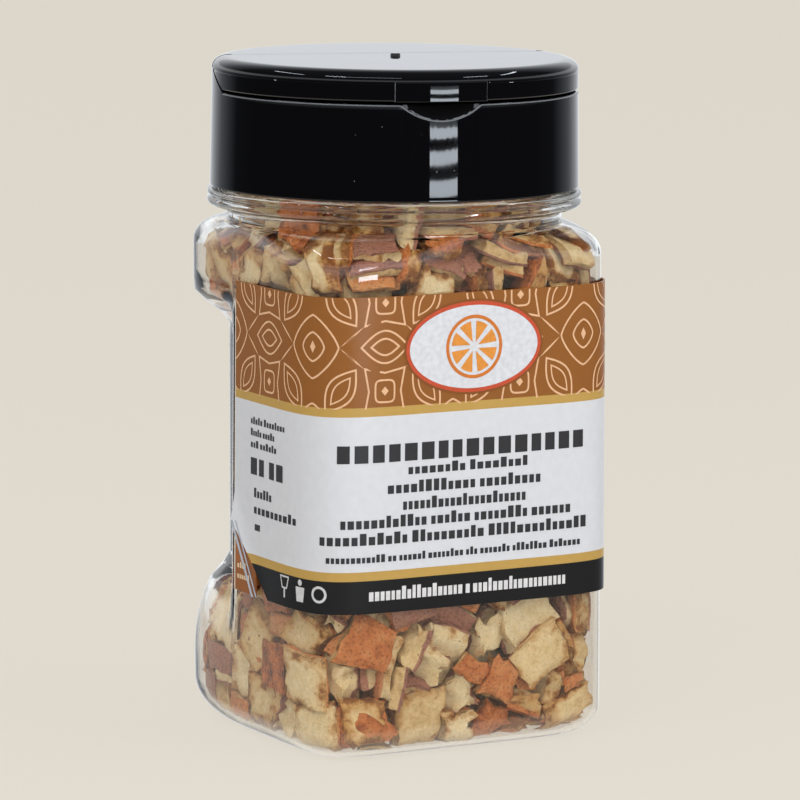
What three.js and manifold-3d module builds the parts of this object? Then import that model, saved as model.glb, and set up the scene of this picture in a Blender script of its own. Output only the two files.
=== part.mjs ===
// A clear pinch-grip spice jar of dried, cut orange peel, with a wrap label and a flip-top screw cap.
// Millimetres, +Z up. The jar stands on z = 0 with the cap's axis on the Z axis.
// -Y is the label's main face, and the two finger recesses are in the back halves of the -X and +X sides.

import * as THREE from 'three';
import { mergeVertices } from 'three/addons/utils/BufferGeometryUtils.js';
import Module from 'manifold-3d';

const wasm = await Module();
wasm.setup();

// ---- Jar body -------------------------------------------------------------------------------------
const BODY = {
  halfX: 30.4,
  halfY: 30.0,
  wall: 1.0,
  floor: 1.9,
  shoulderStart: 86.9,
  shoulderTop: 91.6,
};

// How square the corners are (a higher power is squarer), at the foot and at the shoulder.
const CORNER = { frontFoot: 7.2, frontShoulder: 5.8, backFoot: 4.4, backShoulder: 5.0 };

// The rounded bottom edge, which is fuller at the back corners.
const FILLET = { front: 5.4, back: 8.0, blendStart: 5.0, blendEnd: 26.0 };

// The underside: a flat ring to stand on, round a shallow push-up.
const FOOT = { inset: 12.0, slope: 3.0, pushUp: 1.3 };

// A finger recess in each side, squeezed in behind the rib.
const GRIP = {
  squeeze: 0.26,
  frontY: 3.6,
  reach: 5.5,
  lowBulge: 12.0,
  lowLedge: 27.2,
  highStart: 71.1,
  highEnd: 78.6,
};

// The upright rib that ends the label panel on each side.
const RIB = { y: 2.8, halfWidth: 0.75, height: 0.5 };

const NECK = {
  radius: 30.0,
  boreRadius: 28.6,
  beadRadius: 33.5,
  beadFoot: 93.2,
  beadLow: 94.8,
  beadTop: 97.3,
  rim: 113.0,
};

// ---- Contents -------------------------------------------------------------------------------------
const FILL = { clearance: 0.4, top: 110.8, bump: 0.7 };

// ---- Label ----------------------------------------------------------------------------------------
const LABEL = {
  gap: 0.3,
  thickness: 0.28,
  bottom: 26.5,
  top: 81.9,
  endY: 1.4,
  cutY: -6.5,
  cutTop: 39.1,
  cutGap: 0.4,
};

// ---- Cap ------------------------------------------------------------------------------------------
// In the cap's own frame the thumb notch faces -Y, and the whole cap is screwed round by turnDegrees.
const CAP = {
  turnDegrees: -14.5,
  bottom: 97.8,
  deckTop: 114.9,
  top: 120.7,
  bottomRadius: 33.0,
  deckRadius: 32.7,
  edgeRadius: 2.9,
  boreRadius: 31.2,
  deckThickness: 1.4,
  gap: 0.4,
};

// The flap turns on a chord behind the cap's middle. Its ends are cut back on a slope that meets the deck.
const FLAP = {
  hingeY: 8.0,
  slopeFootY: -4.0,
  topThickness: 1.4,
  skirtThickness: 1.5,
  tabWidth: 16.5,
  tabHeight: 4.6,
  tabProud: 0.35,
};

const NOTCH = { halfWidth: 7.25, depth: 2.6, standOff: 20.0 };
const SPOUT = { radius: 25.5, backY: -8.5, sealGap: 1.6, sealThickness: 1.0, sealLift: 0.5 };
const GATE = { radius: 0.95, height: 0.5 };

const ROUND_SEGMENTS = 48;

const smoothStep = (value, start, end) => THREE.MathUtils.smoothstep(value, start, end);

// ---- The jar's cross-section ----------------------------------------------------------------------

// Directions round the section: close together at the four corners, and three on each rib.
function sectionAngles() {
  const steps = 5;
  const spread = 1.6;
  const angles = [];
  for (let corner = 0; corner < 4; corner += 1) {
    for (let step = -steps; step < steps; step += 1) {
      const share = Math.sign(step) * Math.abs(step / steps) ** spread;
      angles.push((corner + 0.5 + 0.5 * share) * (Math.PI / 2));
    }
  }
  const extraY = [RIB.y - RIB.halfWidth, RIB.y, RIB.y + RIB.halfWidth, (GRIP.frontY + GRIP.reach) * 0.6];
  for (const y of extraY) {
    const lean = Math.atan2(y, BODY.halfX);
    angles.push(lean, Math.PI - lean);
  }
  return angles.sort((a, b) => a - b);
}

const ANGLES = sectionAngles();

// Radius of the rounded square in one direction at a height, with every side moved in by inset.
function squareRadius(angle, z, inset) {
  const climb = THREE.MathUtils.clamp(z / BODY.shoulderStart, 0, 1);
  const front = THREE.MathUtils.lerp(CORNER.frontFoot, CORNER.frontShoulder, climb);
  const back = THREE.MathUtils.lerp(CORNER.backFoot, CORNER.backShoulder, climb);
  const exponent = Math.sin(angle) < 0 ? front : back;
  const across = Math.abs(Math.cos(angle) / (BODY.halfX - inset)) ** exponent;
  const along = Math.abs(Math.sin(angle) / (BODY.halfY - inset)) ** exponent;
  return (across + along) ** (-1 / exponent);
}

// How far the section has turned from the rounded square (0) into the round neck (1) at a height.
function roundness(z, inset) {
  const climb = (z + inset - BODY.shoulderStart) / (BODY.shoulderTop - BODY.shoulderStart);
  const share = THREE.MathUtils.clamp(climb, 0, 1);
  return 1 - Math.sqrt(1 - share * share);
}

// Depth of the finger recess at a height, from 0 to 1: a bulging foot and ledge below, a slope above.
function gripAtHeight(z, inset) {
  const rise = (z + inset - GRIP.lowBulge) / (GRIP.lowLedge - GRIP.lowBulge);
  const share = THREE.MathUtils.clamp(rise, 0, 1);
  const low = 1 - Math.sqrt(1 - share * share);
  const high = 1 - smoothStep(z - inset, GRIP.highStart, GRIP.highEnd);
  return low * high;
}

// A point on the jar's wall, moved in by inset (out, where it is negative).
function wallPoint(angle, z, inset) {
  const square = squareRadius(angle, z, inset);
  const radius = THREE.MathUtils.lerp(square, NECK.radius - inset, roundness(z, inset));
  const y = radius * Math.sin(angle);
  const reach = smoothStep(y, GRIP.frontY - inset, GRIP.frontY + GRIP.reach - inset);
  const squeeze = 1 - GRIP.squeeze * gripAtHeight(z, inset) * reach;
  return new THREE.Vector3(radius * Math.cos(angle) * squeeze, y, z);
}

const wallRing = (z, inset) => ANGLES.map((angle) => wallPoint(angle, z, inset));

const roundRing = (z, radius) =>
  ANGLES.map((angle) => new THREE.Vector3(radius * Math.cos(angle), radius * Math.sin(angle), z));

// The same ring with a rib standing out of each side.
function ribbedRing(z) {
  const ring = wallRing(z, 0);
  for (const point of ring) {
    if (Math.abs(point.y - RIB.y) < RIB.halfWidth / 2) {
      point.x += Math.sign(point.x) * RIB.height;
    }
  }
  return ring;
}

function filletRadius(angle) {
  const y = BODY.halfY * Math.sin(angle);
  return THREE.MathUtils.lerp(FILLET.front, FILLET.back, smoothStep(y, FILLET.blendStart, FILLET.blendEnd));
}

// Rings of the rounded bottom edge, from the foot up to the straight wall.
function filletRings(baseZ, inset, steps) {
  const rings = [];
  for (let step = 0; step <= steps; step += 1) {
    const turn = (step / steps) * (Math.PI / 2);
    const ring = ANGLES.map((angle) => {
      const radius = filletRadius(angle) - inset;
      const z = baseZ + radius * (1 - Math.cos(turn));
      return wallPoint(angle, z, inset + radius * (1 - Math.sin(turn)));
    });
    rings.push(ring);
  }
  return rings;
}

// Heights of the straight wall, with more of them where the recess starts and ends.
function wallHeights(inset) {
  const { lowBulge, lowLedge, highStart, highEnd } = GRIP;
  const heights = [lowBulge - inset];
  for (const share of [0.45, 0.7, 0.87, 0.97, 1]) {
    heights.push(lowBulge + (lowLedge - lowBulge) * share - inset);
  }
  for (const share of [0, 0.25, 0.5, 0.75, 1]) {
    heights.push(highStart + (highEnd - highStart) * share + inset);
  }
  return heights;
}

function shoulderHeights(inset) {
  const climb = BODY.shoulderTop - BODY.shoulderStart;
  return [0, 0.5, 0.8, 0.95, 1].map((share) => BODY.shoulderStart + climb * share - inset);
}

// ---- Closed meshes from rings ---------------------------------------------------------------------

// Joins rings of equal length into one closed skin, fanned to a middle point at each end.
function skinOfRings(rings) {
  const count = rings[0].length;
  const points = rings.flat();
  const middle = (ring) => ring.reduce((sum, p) => sum.add(p), new THREE.Vector3()).divideScalar(count);
  const first = points.push(middle(rings[0])) - 1;
  const last = points.push(middle(rings[rings.length - 1])) - 1;
  const index = [];
  for (let side = 0; side < count; side += 1) {
    const next = (side + 1) % count;
    const top = (rings.length - 1) * count;
    index.push(first, next, side);
    index.push(last, top + side, top + next);
    for (let level = 0; level < rings.length - 1; level += 1) {
      const low = level * count;
      const high = low + count;
      index.push(low + side, low + next, high + next);
      index.push(low + side, high + next, high + side);
    }
  }
  const geometry = new THREE.BufferGeometry();
  geometry.setAttribute('position', new THREE.Float32BufferAttribute(points.flatMap((p) => p.toArray()), 3));
  geometry.setIndex(index);
  return geometry;
}

// ---- Jar, contents and label ----------------------------------------------------------------------

function jarGeometry() {
  const outside = [
    wallRing(FOOT.pushUp, FOOT.inset + FOOT.slope),
    wallRing(0, FOOT.inset),
    ...filletRings(0, 0, 4),
    ...wallHeights(0).map((z) => ribbedRing(z)),
    ...shoulderHeights(0).map((z) => wallRing(z, 0)),
    roundRing(NECK.beadFoot, NECK.radius),
    roundRing(NECK.beadLow, NECK.beadRadius),
    roundRing(NECK.beadTop, NECK.beadRadius),
    roundRing(NECK.beadTop, NECK.radius),
    roundRing(NECK.rim, NECK.radius),
    roundRing(NECK.rim, NECK.boreRadius),
  ];
  const inside = [
    ...filletRings(BODY.floor, BODY.wall, 3),
    ...wallHeights(BODY.wall).map((z) => wallRing(z, BODY.wall)),
    ...shoulderHeights(BODY.wall).map((z) => wallRing(z, BODY.wall)),
    roundRing(NECK.beadFoot, NECK.boreRadius),
  ];
  return skinOfRings([...outside, ...inside.reverse()]);
}

// Height of the uneven top of the heap of cut peel.
function heapHeight(x, y) {
  const wave = Math.sin(x * 0.42 + 0.6) * Math.cos(y * 0.36 - 0.4) + 0.5 * Math.sin((x + y) * 0.71);
  return FILL.top + FILL.bump * wave;
}

function peelGeometry() {
  const inset = BODY.wall + FILL.clearance;
  const neck = NECK.boreRadius - FILL.clearance;
  const rings = [
    ...filletRings(BODY.floor + FILL.clearance, inset, 3),
    ...wallHeights(inset).map((z) => wallRing(z, inset)),
    ...shoulderHeights(inset).map((z) => wallRing(z, inset)),
    roundRing(NECK.beadFoot, neck),
  ];
  for (const share of [1, 0.78, 0.5, 0.22]) {
    const ring = roundRing(0, neck * share);
    ring.forEach((point) => point.setZ(heapHeight(point.x, point.y)));
    rings.push(ring);
  }
  return skinOfRings(rings);
}

// Directions of the label from its left end at yLeft, round the front, to its right end at yRight.
function labelAngles(yLeft, yRight) {
  const start = Math.PI - Math.atan2(yLeft, BODY.halfX);
  const end = Math.PI * 2 + Math.atan2(yRight, BODY.halfX);
  const cut = Math.PI - Math.atan2(LABEL.cutY, BODY.halfX);
  const turned = [...ANGLES, ...ANGLES.map((angle) => angle + Math.PI * 2), cut];
  const margin = 0.01;
  const between = turned.filter((angle) => angle > start + margin && angle < end - margin);
  return [start, ...between, end].sort((a, b) => a - b);
}

// The slanting edge at the label's lower left, as a height for each y on that side.
function cutHeight(point) {
  if (point.x > 0 || point.y < LABEL.cutY) {
    return LABEL.bottom;
  }
  const share = (point.y - LABEL.cutY) / (LABEL.endY - LABEL.cutY);
  return THREE.MathUtils.lerp(LABEL.bottom, LABEL.cutTop, share);
}

// A thin strip that follows the wall, between a lower and an upper edge given for each point.
function stripGeometry(angles, lowEdge, highEdge) {
  const rings = angles.map((angle) => {
    const side = wallPoint(angle, LABEL.top, 0);
    const low = lowEdge(side);
    const high = highEdge(side);
    const inner = -LABEL.gap;
    const outer = -LABEL.gap - LABEL.thickness;
    return [
      wallPoint(angle, low, inner),
      wallPoint(angle, high, inner),
      wallPoint(angle, high, outer),
      wallPoint(angle, low, outer),
    ];
  });
  return skinOfRings(rings);
}

const labelGeometry = () =>
  stripGeometry(labelAngles(LABEL.endY, LABEL.endY), cutHeight, () => LABEL.top);

// The end of the wrap that shows below the slanting edge.
function labelEndGeometry() {
  const start = Math.PI - Math.atan2(LABEL.endY, BODY.halfX);
  const end = Math.PI - Math.atan2(LABEL.cutY + 2 * LABEL.cutGap, BODY.halfX);
  return stripGeometry([start, end], () => LABEL.bottom, (point) => cutHeight(point) - LABEL.cutGap);
}

// ---- Cap ------------------------------------------------------------------------------------------

// Turns a closed geometry into a solid that can be joined and cut.
function solidOf(geometry) {
  const bare = geometry.clone();
  bare.deleteAttribute('normal');
  bare.deleteAttribute('uv');
  const merged = mergeVertices(bare, 1e-4);
  const vertProperties = new Float32Array(merged.attributes.position.array);
  const triVerts = new Uint32Array(merged.index.array);
  return new wasm.Manifold(new wasm.Mesh({ numProp: 3, vertProperties, triVerts }));
}

function geometryOf(solid) {
  const mesh = solid.getMesh();
  const geometry = new THREE.BufferGeometry();
  geometry.setAttribute('position', new THREE.Float32BufferAttribute(mesh.vertProperties, 3));
  geometry.setIndex([...mesh.triVerts]);
  return geometry;
}

// A solid of revolution about Z from [radius, z] pairs that start and end on the axis, lowest first.
function turned(pairs) {
  const profile = pairs.map(([radius, z]) => new THREE.Vector2(radius, z));
  return solidOf(new THREE.LatheGeometry(profile, ROUND_SEGMENTS).rotateX(Math.PI / 2));
}

const disc = (radius, low, high) => turned([[0, low], [radius, low], [radius, high], [0, high]]);

// A bar along X with the outline given as [y, z] pairs.
function prism(outline, halfLength) {
  const shape = new THREE.Shape(outline.map(([y, z]) => new THREE.Vector2(y, z)));
  const bar = new THREE.ExtrudeGeometry(shape, { depth: 2 * halfLength, bevelEnabled: false });
  bar.rotateY(Math.PI / 2).rotateX(Math.PI / 2).translate(-halfLength, 0, 0);
  return solidOf(bar);
}

// The cap's outer form, drawn in by inset: a slightly tapered wall with a rounded top edge.
function capForm(inset, low) {
  const edge = CAP.edgeRadius - inset;
  const centreRadius = CAP.deckRadius - CAP.edgeRadius;
  const centreZ = CAP.top - CAP.edgeRadius;
  const pairs = [[0, low], [CAP.bottomRadius - inset, low], [CAP.deckRadius - inset, CAP.deckTop]];
  const steps = 4;
  for (let step = 0; step <= steps; step += 1) {
    const turn = (step / steps) * (Math.PI / 2);
    pairs.push([centreRadius + edge * Math.cos(turn), centreZ + edge * Math.sin(turn)]);
  }
  pairs.push([0, CAP.top - inset]);
  return turned(pairs);
}

// Everything in front of the sloping joint and above the deck, with both faces moved by shift.
function flapZone(shift) {
  const far = 60;
  const run = FLAP.hingeY - FLAP.slopeFootY;
  const rise = CAP.top - CAP.deckTop;
  const overshoot = 1 + 5 / rise;
  return prism(
    [
      [-far, CAP.deckTop + shift],
      [FLAP.slopeFootY - shift, CAP.deckTop + shift],
      [FLAP.slopeFootY - shift + run * overshoot, CAP.deckTop + shift + rise * overshoot],
      [-far, CAP.deckTop + shift + rise * overshoot],
    ],
    far,
  );
}

// The half-moon pouring opening, drawn in by inset.
function spoutZone(inset, low, high) {
  const far = 40;
  const halfMoon = prism([[-far, low - 1], [SPOUT.backY - inset, low - 1], [SPOUT.backY - inset, high + 1],
    [-far, high + 1]], far);
  return disc(SPOUT.radius - inset, low, high).intersect(halfMoon);
}

// The thumb notch: a shallow hollow scooped out of the wall under the flap's tab.
function notchSolid() {
  const scoop = (NOTCH.halfWidth ** 2 + NOTCH.depth ** 2) / (2 * NOTCH.depth);
  const ball = new THREE.SphereGeometry(Math.hypot(scoop, NOTCH.standOff), 40, 28);
  ball.translate(0, -CAP.deckRadius - NOTCH.standOff, CAP.deckTop - NOTCH.depth + scoop);
  return solidOf(ball);
}

function capBaseGeometry() {
  const underDeck = CAP.deckTop - CAP.deckThickness;
  const rearRoom = capForm(FLAP.skirtThickness, underDeck - 1).subtract(flapZone(-CAP.deckThickness));
  return geometryOf(
    capForm(0, CAP.bottom)
      .subtract(flapZone(0))
      .subtract(disc(CAP.boreRadius, CAP.bottom - 1, underDeck))
      .subtract(rearRoom)
      .subtract(spoutZone(0, underDeck - 1, CAP.deckTop + 1))
      .subtract(notchSolid()),
  );
}

// The tab in the middle of the flap's skirt, a thin pad that stands out a little.
function tabSolid() {
  const low = CAP.deckTop + CAP.gap;
  const pad = disc(CAP.deckRadius + FLAP.tabProud, low, low + FLAP.tabHeight - CAP.gap);
  const half = FLAP.tabWidth / 2;
  const slab = new THREE.BoxGeometry(FLAP.tabWidth, half, CAP.top).translate(0, -CAP.deckRadius, low);
  return pad.intersect(solidOf(slab));
}

function flapGeometry() {
  const low = CAP.deckTop + CAP.gap;
  const outside = capForm(0, CAP.bottom).add(tabSolid()).intersect(flapZone(CAP.gap));
  const hollowTop = CAP.top - FLAP.topThickness;
  const hollow = disc(CAP.deckRadius - FLAP.skirtThickness, low - 1, hollowTop);
  const frontOfJoint = prism([[-60, low - 2], [FLAP.slopeFootY, low - 2], [FLAP.slopeFootY, hollowTop + 1],
    [-60, hollowTop + 1]], 60);
  const rimLow = CAP.deckTop + SPOUT.sealLift;
  const rim = spoutZone(-SPOUT.sealGap - SPOUT.sealThickness, rimLow, hollowTop + SPOUT.sealLift).subtract(
    spoutZone(-SPOUT.sealGap, rimLow - 1, hollowTop),
  );
  const gate = disc(GATE.radius, CAP.top - SPOUT.sealLift, CAP.top + GATE.height);
  return geometryOf(outside.subtract(hollow.intersect(frontOfJoint)).add(rim).add(gate));
}

// ---- Assembly -------------------------------------------------------------------------------------

function piece(name, geometry, color, roughness, opacity = 1) {
  geometry.computeVertexNormals();
  const material = new THREE.MeshStandardMaterial({ color, roughness, metalness: 0 });
  material.transparent = opacity < 1;
  material.opacity = opacity;
  const mesh = new THREE.Mesh(geometry, material);
  mesh.name = name;
  return mesh;
}

const capGroup = new THREE.Group();
capGroup.rotation.z = THREE.MathUtils.degToRad(CAP.turnDegrees);
capGroup.add(piece('cap_base', capBaseGeometry(), '#141416', 0.12));
capGroup.add(piece('cap_flap', flapGeometry(), '#17171a', 0.12));

const jar = new THREE.Group();
jar.add(piece('jar', jarGeometry(), '#e9eef0', 0.05, 0.35));
jar.add(piece('peel_fill', peelGeometry(), '#bf8a4c', 0.8));
jar.add(piece('label', labelGeometry(), '#a5682a', 0.35));
jar.add(piece('label_end', labelEndGeometry(), '#9b5f2a', 0.35));
jar.add(capGroup);

export default jar;
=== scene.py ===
"""A clear pinch-grip spice jar of dried, cut orange peel, with a wrap label and a flip-top cap.

The jar stands on z = 0 with the cap's axis on the Z axis. -Y is the label's main face, and the two
finger recesses are in the back halves of the -X and +X sides. Sizes are in millimetres.
"""

import logging
import math
import random
from bisect import bisect
from collections.abc import Callable, Sequence
from dataclasses import dataclass
from enum import Enum

import bpy
from mathutils import Matrix, Vector, noise


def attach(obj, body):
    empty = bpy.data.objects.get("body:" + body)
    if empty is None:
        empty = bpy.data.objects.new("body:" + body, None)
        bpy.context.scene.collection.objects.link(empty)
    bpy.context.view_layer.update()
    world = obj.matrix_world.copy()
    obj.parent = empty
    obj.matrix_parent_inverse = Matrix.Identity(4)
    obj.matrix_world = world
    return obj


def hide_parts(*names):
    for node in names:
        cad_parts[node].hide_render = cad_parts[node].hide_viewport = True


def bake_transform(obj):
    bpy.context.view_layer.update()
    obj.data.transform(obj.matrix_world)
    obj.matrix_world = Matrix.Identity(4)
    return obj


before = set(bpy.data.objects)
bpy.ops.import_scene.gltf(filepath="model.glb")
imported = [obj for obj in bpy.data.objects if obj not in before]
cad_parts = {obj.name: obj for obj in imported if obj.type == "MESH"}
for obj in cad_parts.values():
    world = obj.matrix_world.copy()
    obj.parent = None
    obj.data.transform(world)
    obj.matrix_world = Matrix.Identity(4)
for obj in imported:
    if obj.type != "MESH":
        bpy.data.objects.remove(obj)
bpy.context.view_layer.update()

LOG = logging.getLogger("spice_jar")
MM = 0.001


class Body(Enum):
    """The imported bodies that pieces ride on."""

    JAR = "jar_body"
    FLAP = "flap"


class Slot(Enum):
    """The record's material slots."""

    PET = "clear_pet"
    PEEL = "dried_peel"
    FILM = "label_film"
    POLYPROPYLENE = "black_polypropylene"


# ---- Small tools ----------------------------------------------------------------------------------


def linear(code: str) -> tuple[float, float, float, float]:
    """Turn an sRGB hex colour into linear red, green, blue and alpha.

    Args:
        code: A colour such as "#C8A455".

    Returns:
        Four numbers, with an alpha of 1.
    """
    channels = (int(code[place : place + 2], 16) / 255 for place in (1, 3, 5))
    return (*(c / 12.92 if c <= 0.04045 else ((c + 0.055) / 1.055) ** 2.4 for c in channels), 1.0)


def add_node(
    tree: bpy.types.NodeTree,
    kind: str,
    inputs: dict[str | int, object] | None = None,
    stops: Sequence[tuple[float, str]] = (),
    **settings: object,
) -> bpy.types.Node:
    """Add a node with its settings, its values and its links.

    Args:
        tree: The node tree that gets it.
        kind: The node's class name without "ShaderNode".
        inputs: A value, a hex colour or another node's output for each input, by name or number.
        stops: A place and a hex colour for each stop of a colour ramp.
        **settings: The node's own properties.

    Returns:
        The new node.
    """
    node = tree.nodes.new("ShaderNode" + kind)
    for name, value in settings.items():
        setattr(node, name, value)
    for key, value in (inputs or {}).items():
        if isinstance(value, bpy.types.NodeSocket):
            tree.links.new(value, node.inputs[key])
        else:
            node.inputs[key].default_value = linear(value) if isinstance(value, str) else value
    if stops:
        ramp = node.color_ramp
        while len(ramp.elements) < len(stops):
            ramp.elements.new(1.0)
        for element, (place, code) in zip(ramp.elements, stops):
            element.position = place
            element.color = linear(code)
    return node


def smooth_step(value: float, start: float, end: float) -> float:
    """Rise smoothly from 0 at start to 1 at end."""
    share = min(max((value - start) / (end - start), 0.0), 1.0)
    return share * share * (3 - 2 * share)


def mix(low: float, high: float, share: float) -> float:
    """The value that lies a share of the way from low to high."""
    return low + (high - low) * share


def per_mm(size: float) -> float:
    """The texture scale, in repeats per metre, of a feature of that size in millimetres."""
    return 1 / (size * MM)


def deselect() -> None:
    """Leave object mode's selection empty, so that an operator acts only on what is picked next."""
    bpy.ops.object.select_all(action="DESELECT")


def pick(piece: bpy.types.Object, *others: bpy.types.Object) -> None:
    """Select one object as the active one, with others beside it."""
    deselect()
    for each in (piece, *others):
        each.select_set(True)
    bpy.context.view_layer.objects.active = piece


def edit(piece: bpy.types.Object, mode: str = "VERT") -> None:
    """Open an object's mesh with nothing in it selected."""
    pick(piece)
    bpy.ops.object.mode_set(mode="EDIT")
    bpy.ops.mesh.select_mode(type=mode)
    bpy.ops.mesh.select_all(action="DESELECT")


def close_edit() -> None:
    """Go back to object mode."""
    bpy.ops.object.mode_set(mode="OBJECT")


def edit_where(piece: bpy.types.Object, mode: str, test: Callable[[object], bool]) -> None:
    """Open an object's mesh with only those vertices or faces selected that pass a test."""
    edit(piece, mode)
    close_edit()
    for part in piece.data.vertices if mode == "VERT" else piece.data.polygons:
        part.select = test(part)
    bpy.ops.object.mode_set(mode="EDIT")


def bake_modifier(piece: bpy.types.Object, kind: str, **settings: object) -> None:
    """Add a modifier with its settings and apply it."""
    pick(piece)
    modifier = piece.modifiers.new(kind.lower(), kind)
    for name, value in settings.items():
        setattr(modifier, name, value)
    bpy.ops.object.modifier_apply(modifier=modifier.name)


def combine(piece: bpy.types.Object, cutter: bpy.types.Object, operation: str) -> None:
    """Join, cut or intersect a piece with a cutter, which is used up."""
    bake_modifier(piece, "BOOLEAN", operation=operation, solver="EXACT", object=cutter)
    bpy.data.objects.remove(cutter)


def outward(piece: bpy.types.Object) -> None:
    """Merge doubles, then turn every face outwards."""
    edit(piece)
    bpy.ops.mesh.select_all(action="SELECT")
    bpy.ops.mesh.remove_doubles(threshold=0.002 * MM)
    bpy.ops.mesh.normals_make_consistent(inside=False)
    close_edit()


def smooth(piece: bpy.types.Object, degrees: float = 32.0) -> None:
    """Shade smoothly over edges blunter than an angle."""
    pick(piece)
    bpy.ops.object.shade_smooth_by_angle(angle=math.radians(degrees))


def ring_tower(
    name: str, sides: int, rings: int, place: Callable[[int, int | None], Vector]
) -> bpy.types.Object:
    """Extrude a filled circle ring by ring into a closed skin, then lay each ring in its place.

    Args:
        name: The piece's name.
        sides: Points round each ring.
        rings: Number of rings.
        place: Gives a point in millimetres from a ring's number and a side's number, or from None
            for the middle point that closes the first or last ring.

    Returns:
        The closed piece, with its faces turned outwards.
    """
    deselect()
    bpy.ops.mesh.primitive_circle_add(vertices=sides, radius=1.0, fill_type="TRIFAN")
    piece = bpy.context.object
    piece.name = name
    bpy.ops.object.mode_set(mode="EDIT")
    bpy.ops.mesh.select_all(action="SELECT")
    for _ in range(rings - 1):
        bpy.ops.mesh.extrude_region_move(TRANSFORM_OT_translate={"value": (0, 0, 1)})
    close_edit()
    for vertex in piece.data.vertices:
        x, y, level = vertex.co
        ring = round(level)
        middle = math.hypot(x, y) < 0.5
        side = None if middle else round(math.atan2(y, x) / math.tau * sides) % sides
        vertex.co = place(ring, side) * MM
    outward(piece)
    return piece


def turned(name: str, pairs: Sequence[tuple[float, float]], sides: int = 192) -> bpy.types.Object:
    """Make a solid of revolution about Z.

    Args:
        name: The piece's name.
        pairs: Radius and height in millimetres for each ring, closed to the axis at both ends.
        sides: Points round each ring.

    Returns:
        The closed solid.
    """

    def place(ring: int, side: int | None) -> Vector:
        radius, z = pairs[ring]
        angle = 0.0 if side is None else side * math.tau / sides
        reach = 0.0 if side is None else radius
        return Vector((reach * math.cos(angle), reach * math.sin(angle), z))

    return ring_tower(name, sides, len(pairs), place)


def arc(
    centre: tuple[float, float], radius: float, start: float, end: float, steps: int
) -> list[tuple[float, float]]:
    """Points in millimetres on an arc from start to end, in degrees."""
    angles = [math.radians(mix(start, end, step / steps)) for step in range(steps + 1)]
    return [(centre[0] + radius * math.cos(a), centre[1] + radius * math.sin(a)) for a in angles]


def bar_along_x(name: str, outline: Sequence[tuple[float, float]], half: float) -> bpy.types.Object:
    """Shape a cube into a bar along X.

    Args:
        name: The piece's name.
        outline: The low front, low back, high back and high front corners, as Y and Z in millimetres.
        half: Half of its length in millimetres.

    Returns:
        The bar.
    """
    deselect()
    bpy.ops.mesh.primitive_cube_add(size=2.0)
    piece = bpy.context.object
    piece.name = name
    corners = {(-1, -1): 0, (1, -1): 1, (1, 1): 2, (-1, 1): 3}
    for vertex in piece.data.vertices:
        y, z = outline[corners[(round(vertex.co.y), round(vertex.co.z))]]
        vertex.co = Vector((math.copysign(half, vertex.co.x), y, z)) * MM
    return piece


def bevel_where(
    piece: bpy.types.Object, test: Callable[[Vector], bool], width: float, segments: int = 3,
    clamp: bool = True,
) -> None:
    """Round the sharp edges whose two ends pass a test.

    Args:
        piece: The piece to round.
        test: Says of a point in millimetres whether it is on such an edge.
        width: The bevel's width in millimetres.
        segments: Faces across the bevel.
        clamp: Whether the shortest edge limits the width.
    """
    edit(piece, "EDGE")
    bpy.ops.mesh.edges_select_sharp(sharpness=math.radians(35))
    close_edit()
    points = piece.data.vertices
    for face in piece.data.polygons:
        face.select = False
    for edge in piece.data.edges:
        edge.select = edge.select and all(test(points[end].co / MM) for end in edge.vertices)
    bpy.ops.object.mode_set(mode="EDIT")
    bpy.ops.mesh.bevel(
        offset=width * MM, segments=segments, profile=0.5, affect="EDGES", clamp_overlap=clamp
    )
    close_edit()


# ---- Finishes -------------------------------------------------------------------------------------


@dataclass(frozen=True)
class Finish:
    """A surface finish, made once as a material and then shared."""

    name: str

    def material(self) -> bpy.types.Material:
        """Return the material, making it the first time."""
        found = bpy.data.materials.get(self.name)
        if found is not None:
            return found
        made = bpy.data.materials.new(self.name)
        made.use_nodes = True
        made.node_tree.nodes.clear()
        self.wire(made.node_tree)
        return made

    def wire(self, tree: bpy.types.NodeTree) -> None:
        """Lay out the nodes; each finish has its own."""
        raise NotImplementedError

    def put_on(self, piece: bpy.types.Object) -> None:
        """Dress a piece in this finish alone."""
        piece.data.materials.clear()
        piece.data.materials.append(self.material())


@dataclass(frozen=True)
class BlownPet(Finish):
    """Clear PET, stretch-blown in a mould: glassy, with slow waves in its wall."""

    tint: str = "#FBFAF8"
    ior: float = 1.575
    wave_size: float = 14.0
    wave_height: float = 0.05

    def wire(self, tree: bpy.types.NodeTree) -> None:
        """Wavy clear plastic that lets shadow rays through, so what it holds stays lit."""
        where = add_node(tree, "TexCoord")
        wave = add_node(
            tree, "TexNoise",
            {"Vector": where.outputs["Object"], "Scale": per_mm(self.wave_size), "Detail": 1.0},
        )
        bump = add_node(
            tree, "Bump",
            {"Strength": 0.35, "Distance": self.wave_height * MM, "Height": wave.outputs["Fac"]},
        )
        plastic = add_node(
            tree, "BsdfPrincipled",
            {
                "Base Color": self.tint,
                "Roughness": 0.015,
                "IOR": self.ior,
                "Transmission Weight": 1.0,
                "Normal": bump.outputs["Normal"],
            },
        )
        clear = add_node(tree, "BsdfTransparent", {"Color": self.tint})
        path = add_node(tree, "LightPath")
        both = add_node(
            tree, "MixShader",
            {0: path.outputs["Is Shadow Ray"], 1: plastic.outputs["BSDF"], 2: clear.outputs["BSDF"]},
        )
        add_node(tree, "OutputMaterial", {"Surface": both.outputs["Shader"]})


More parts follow.
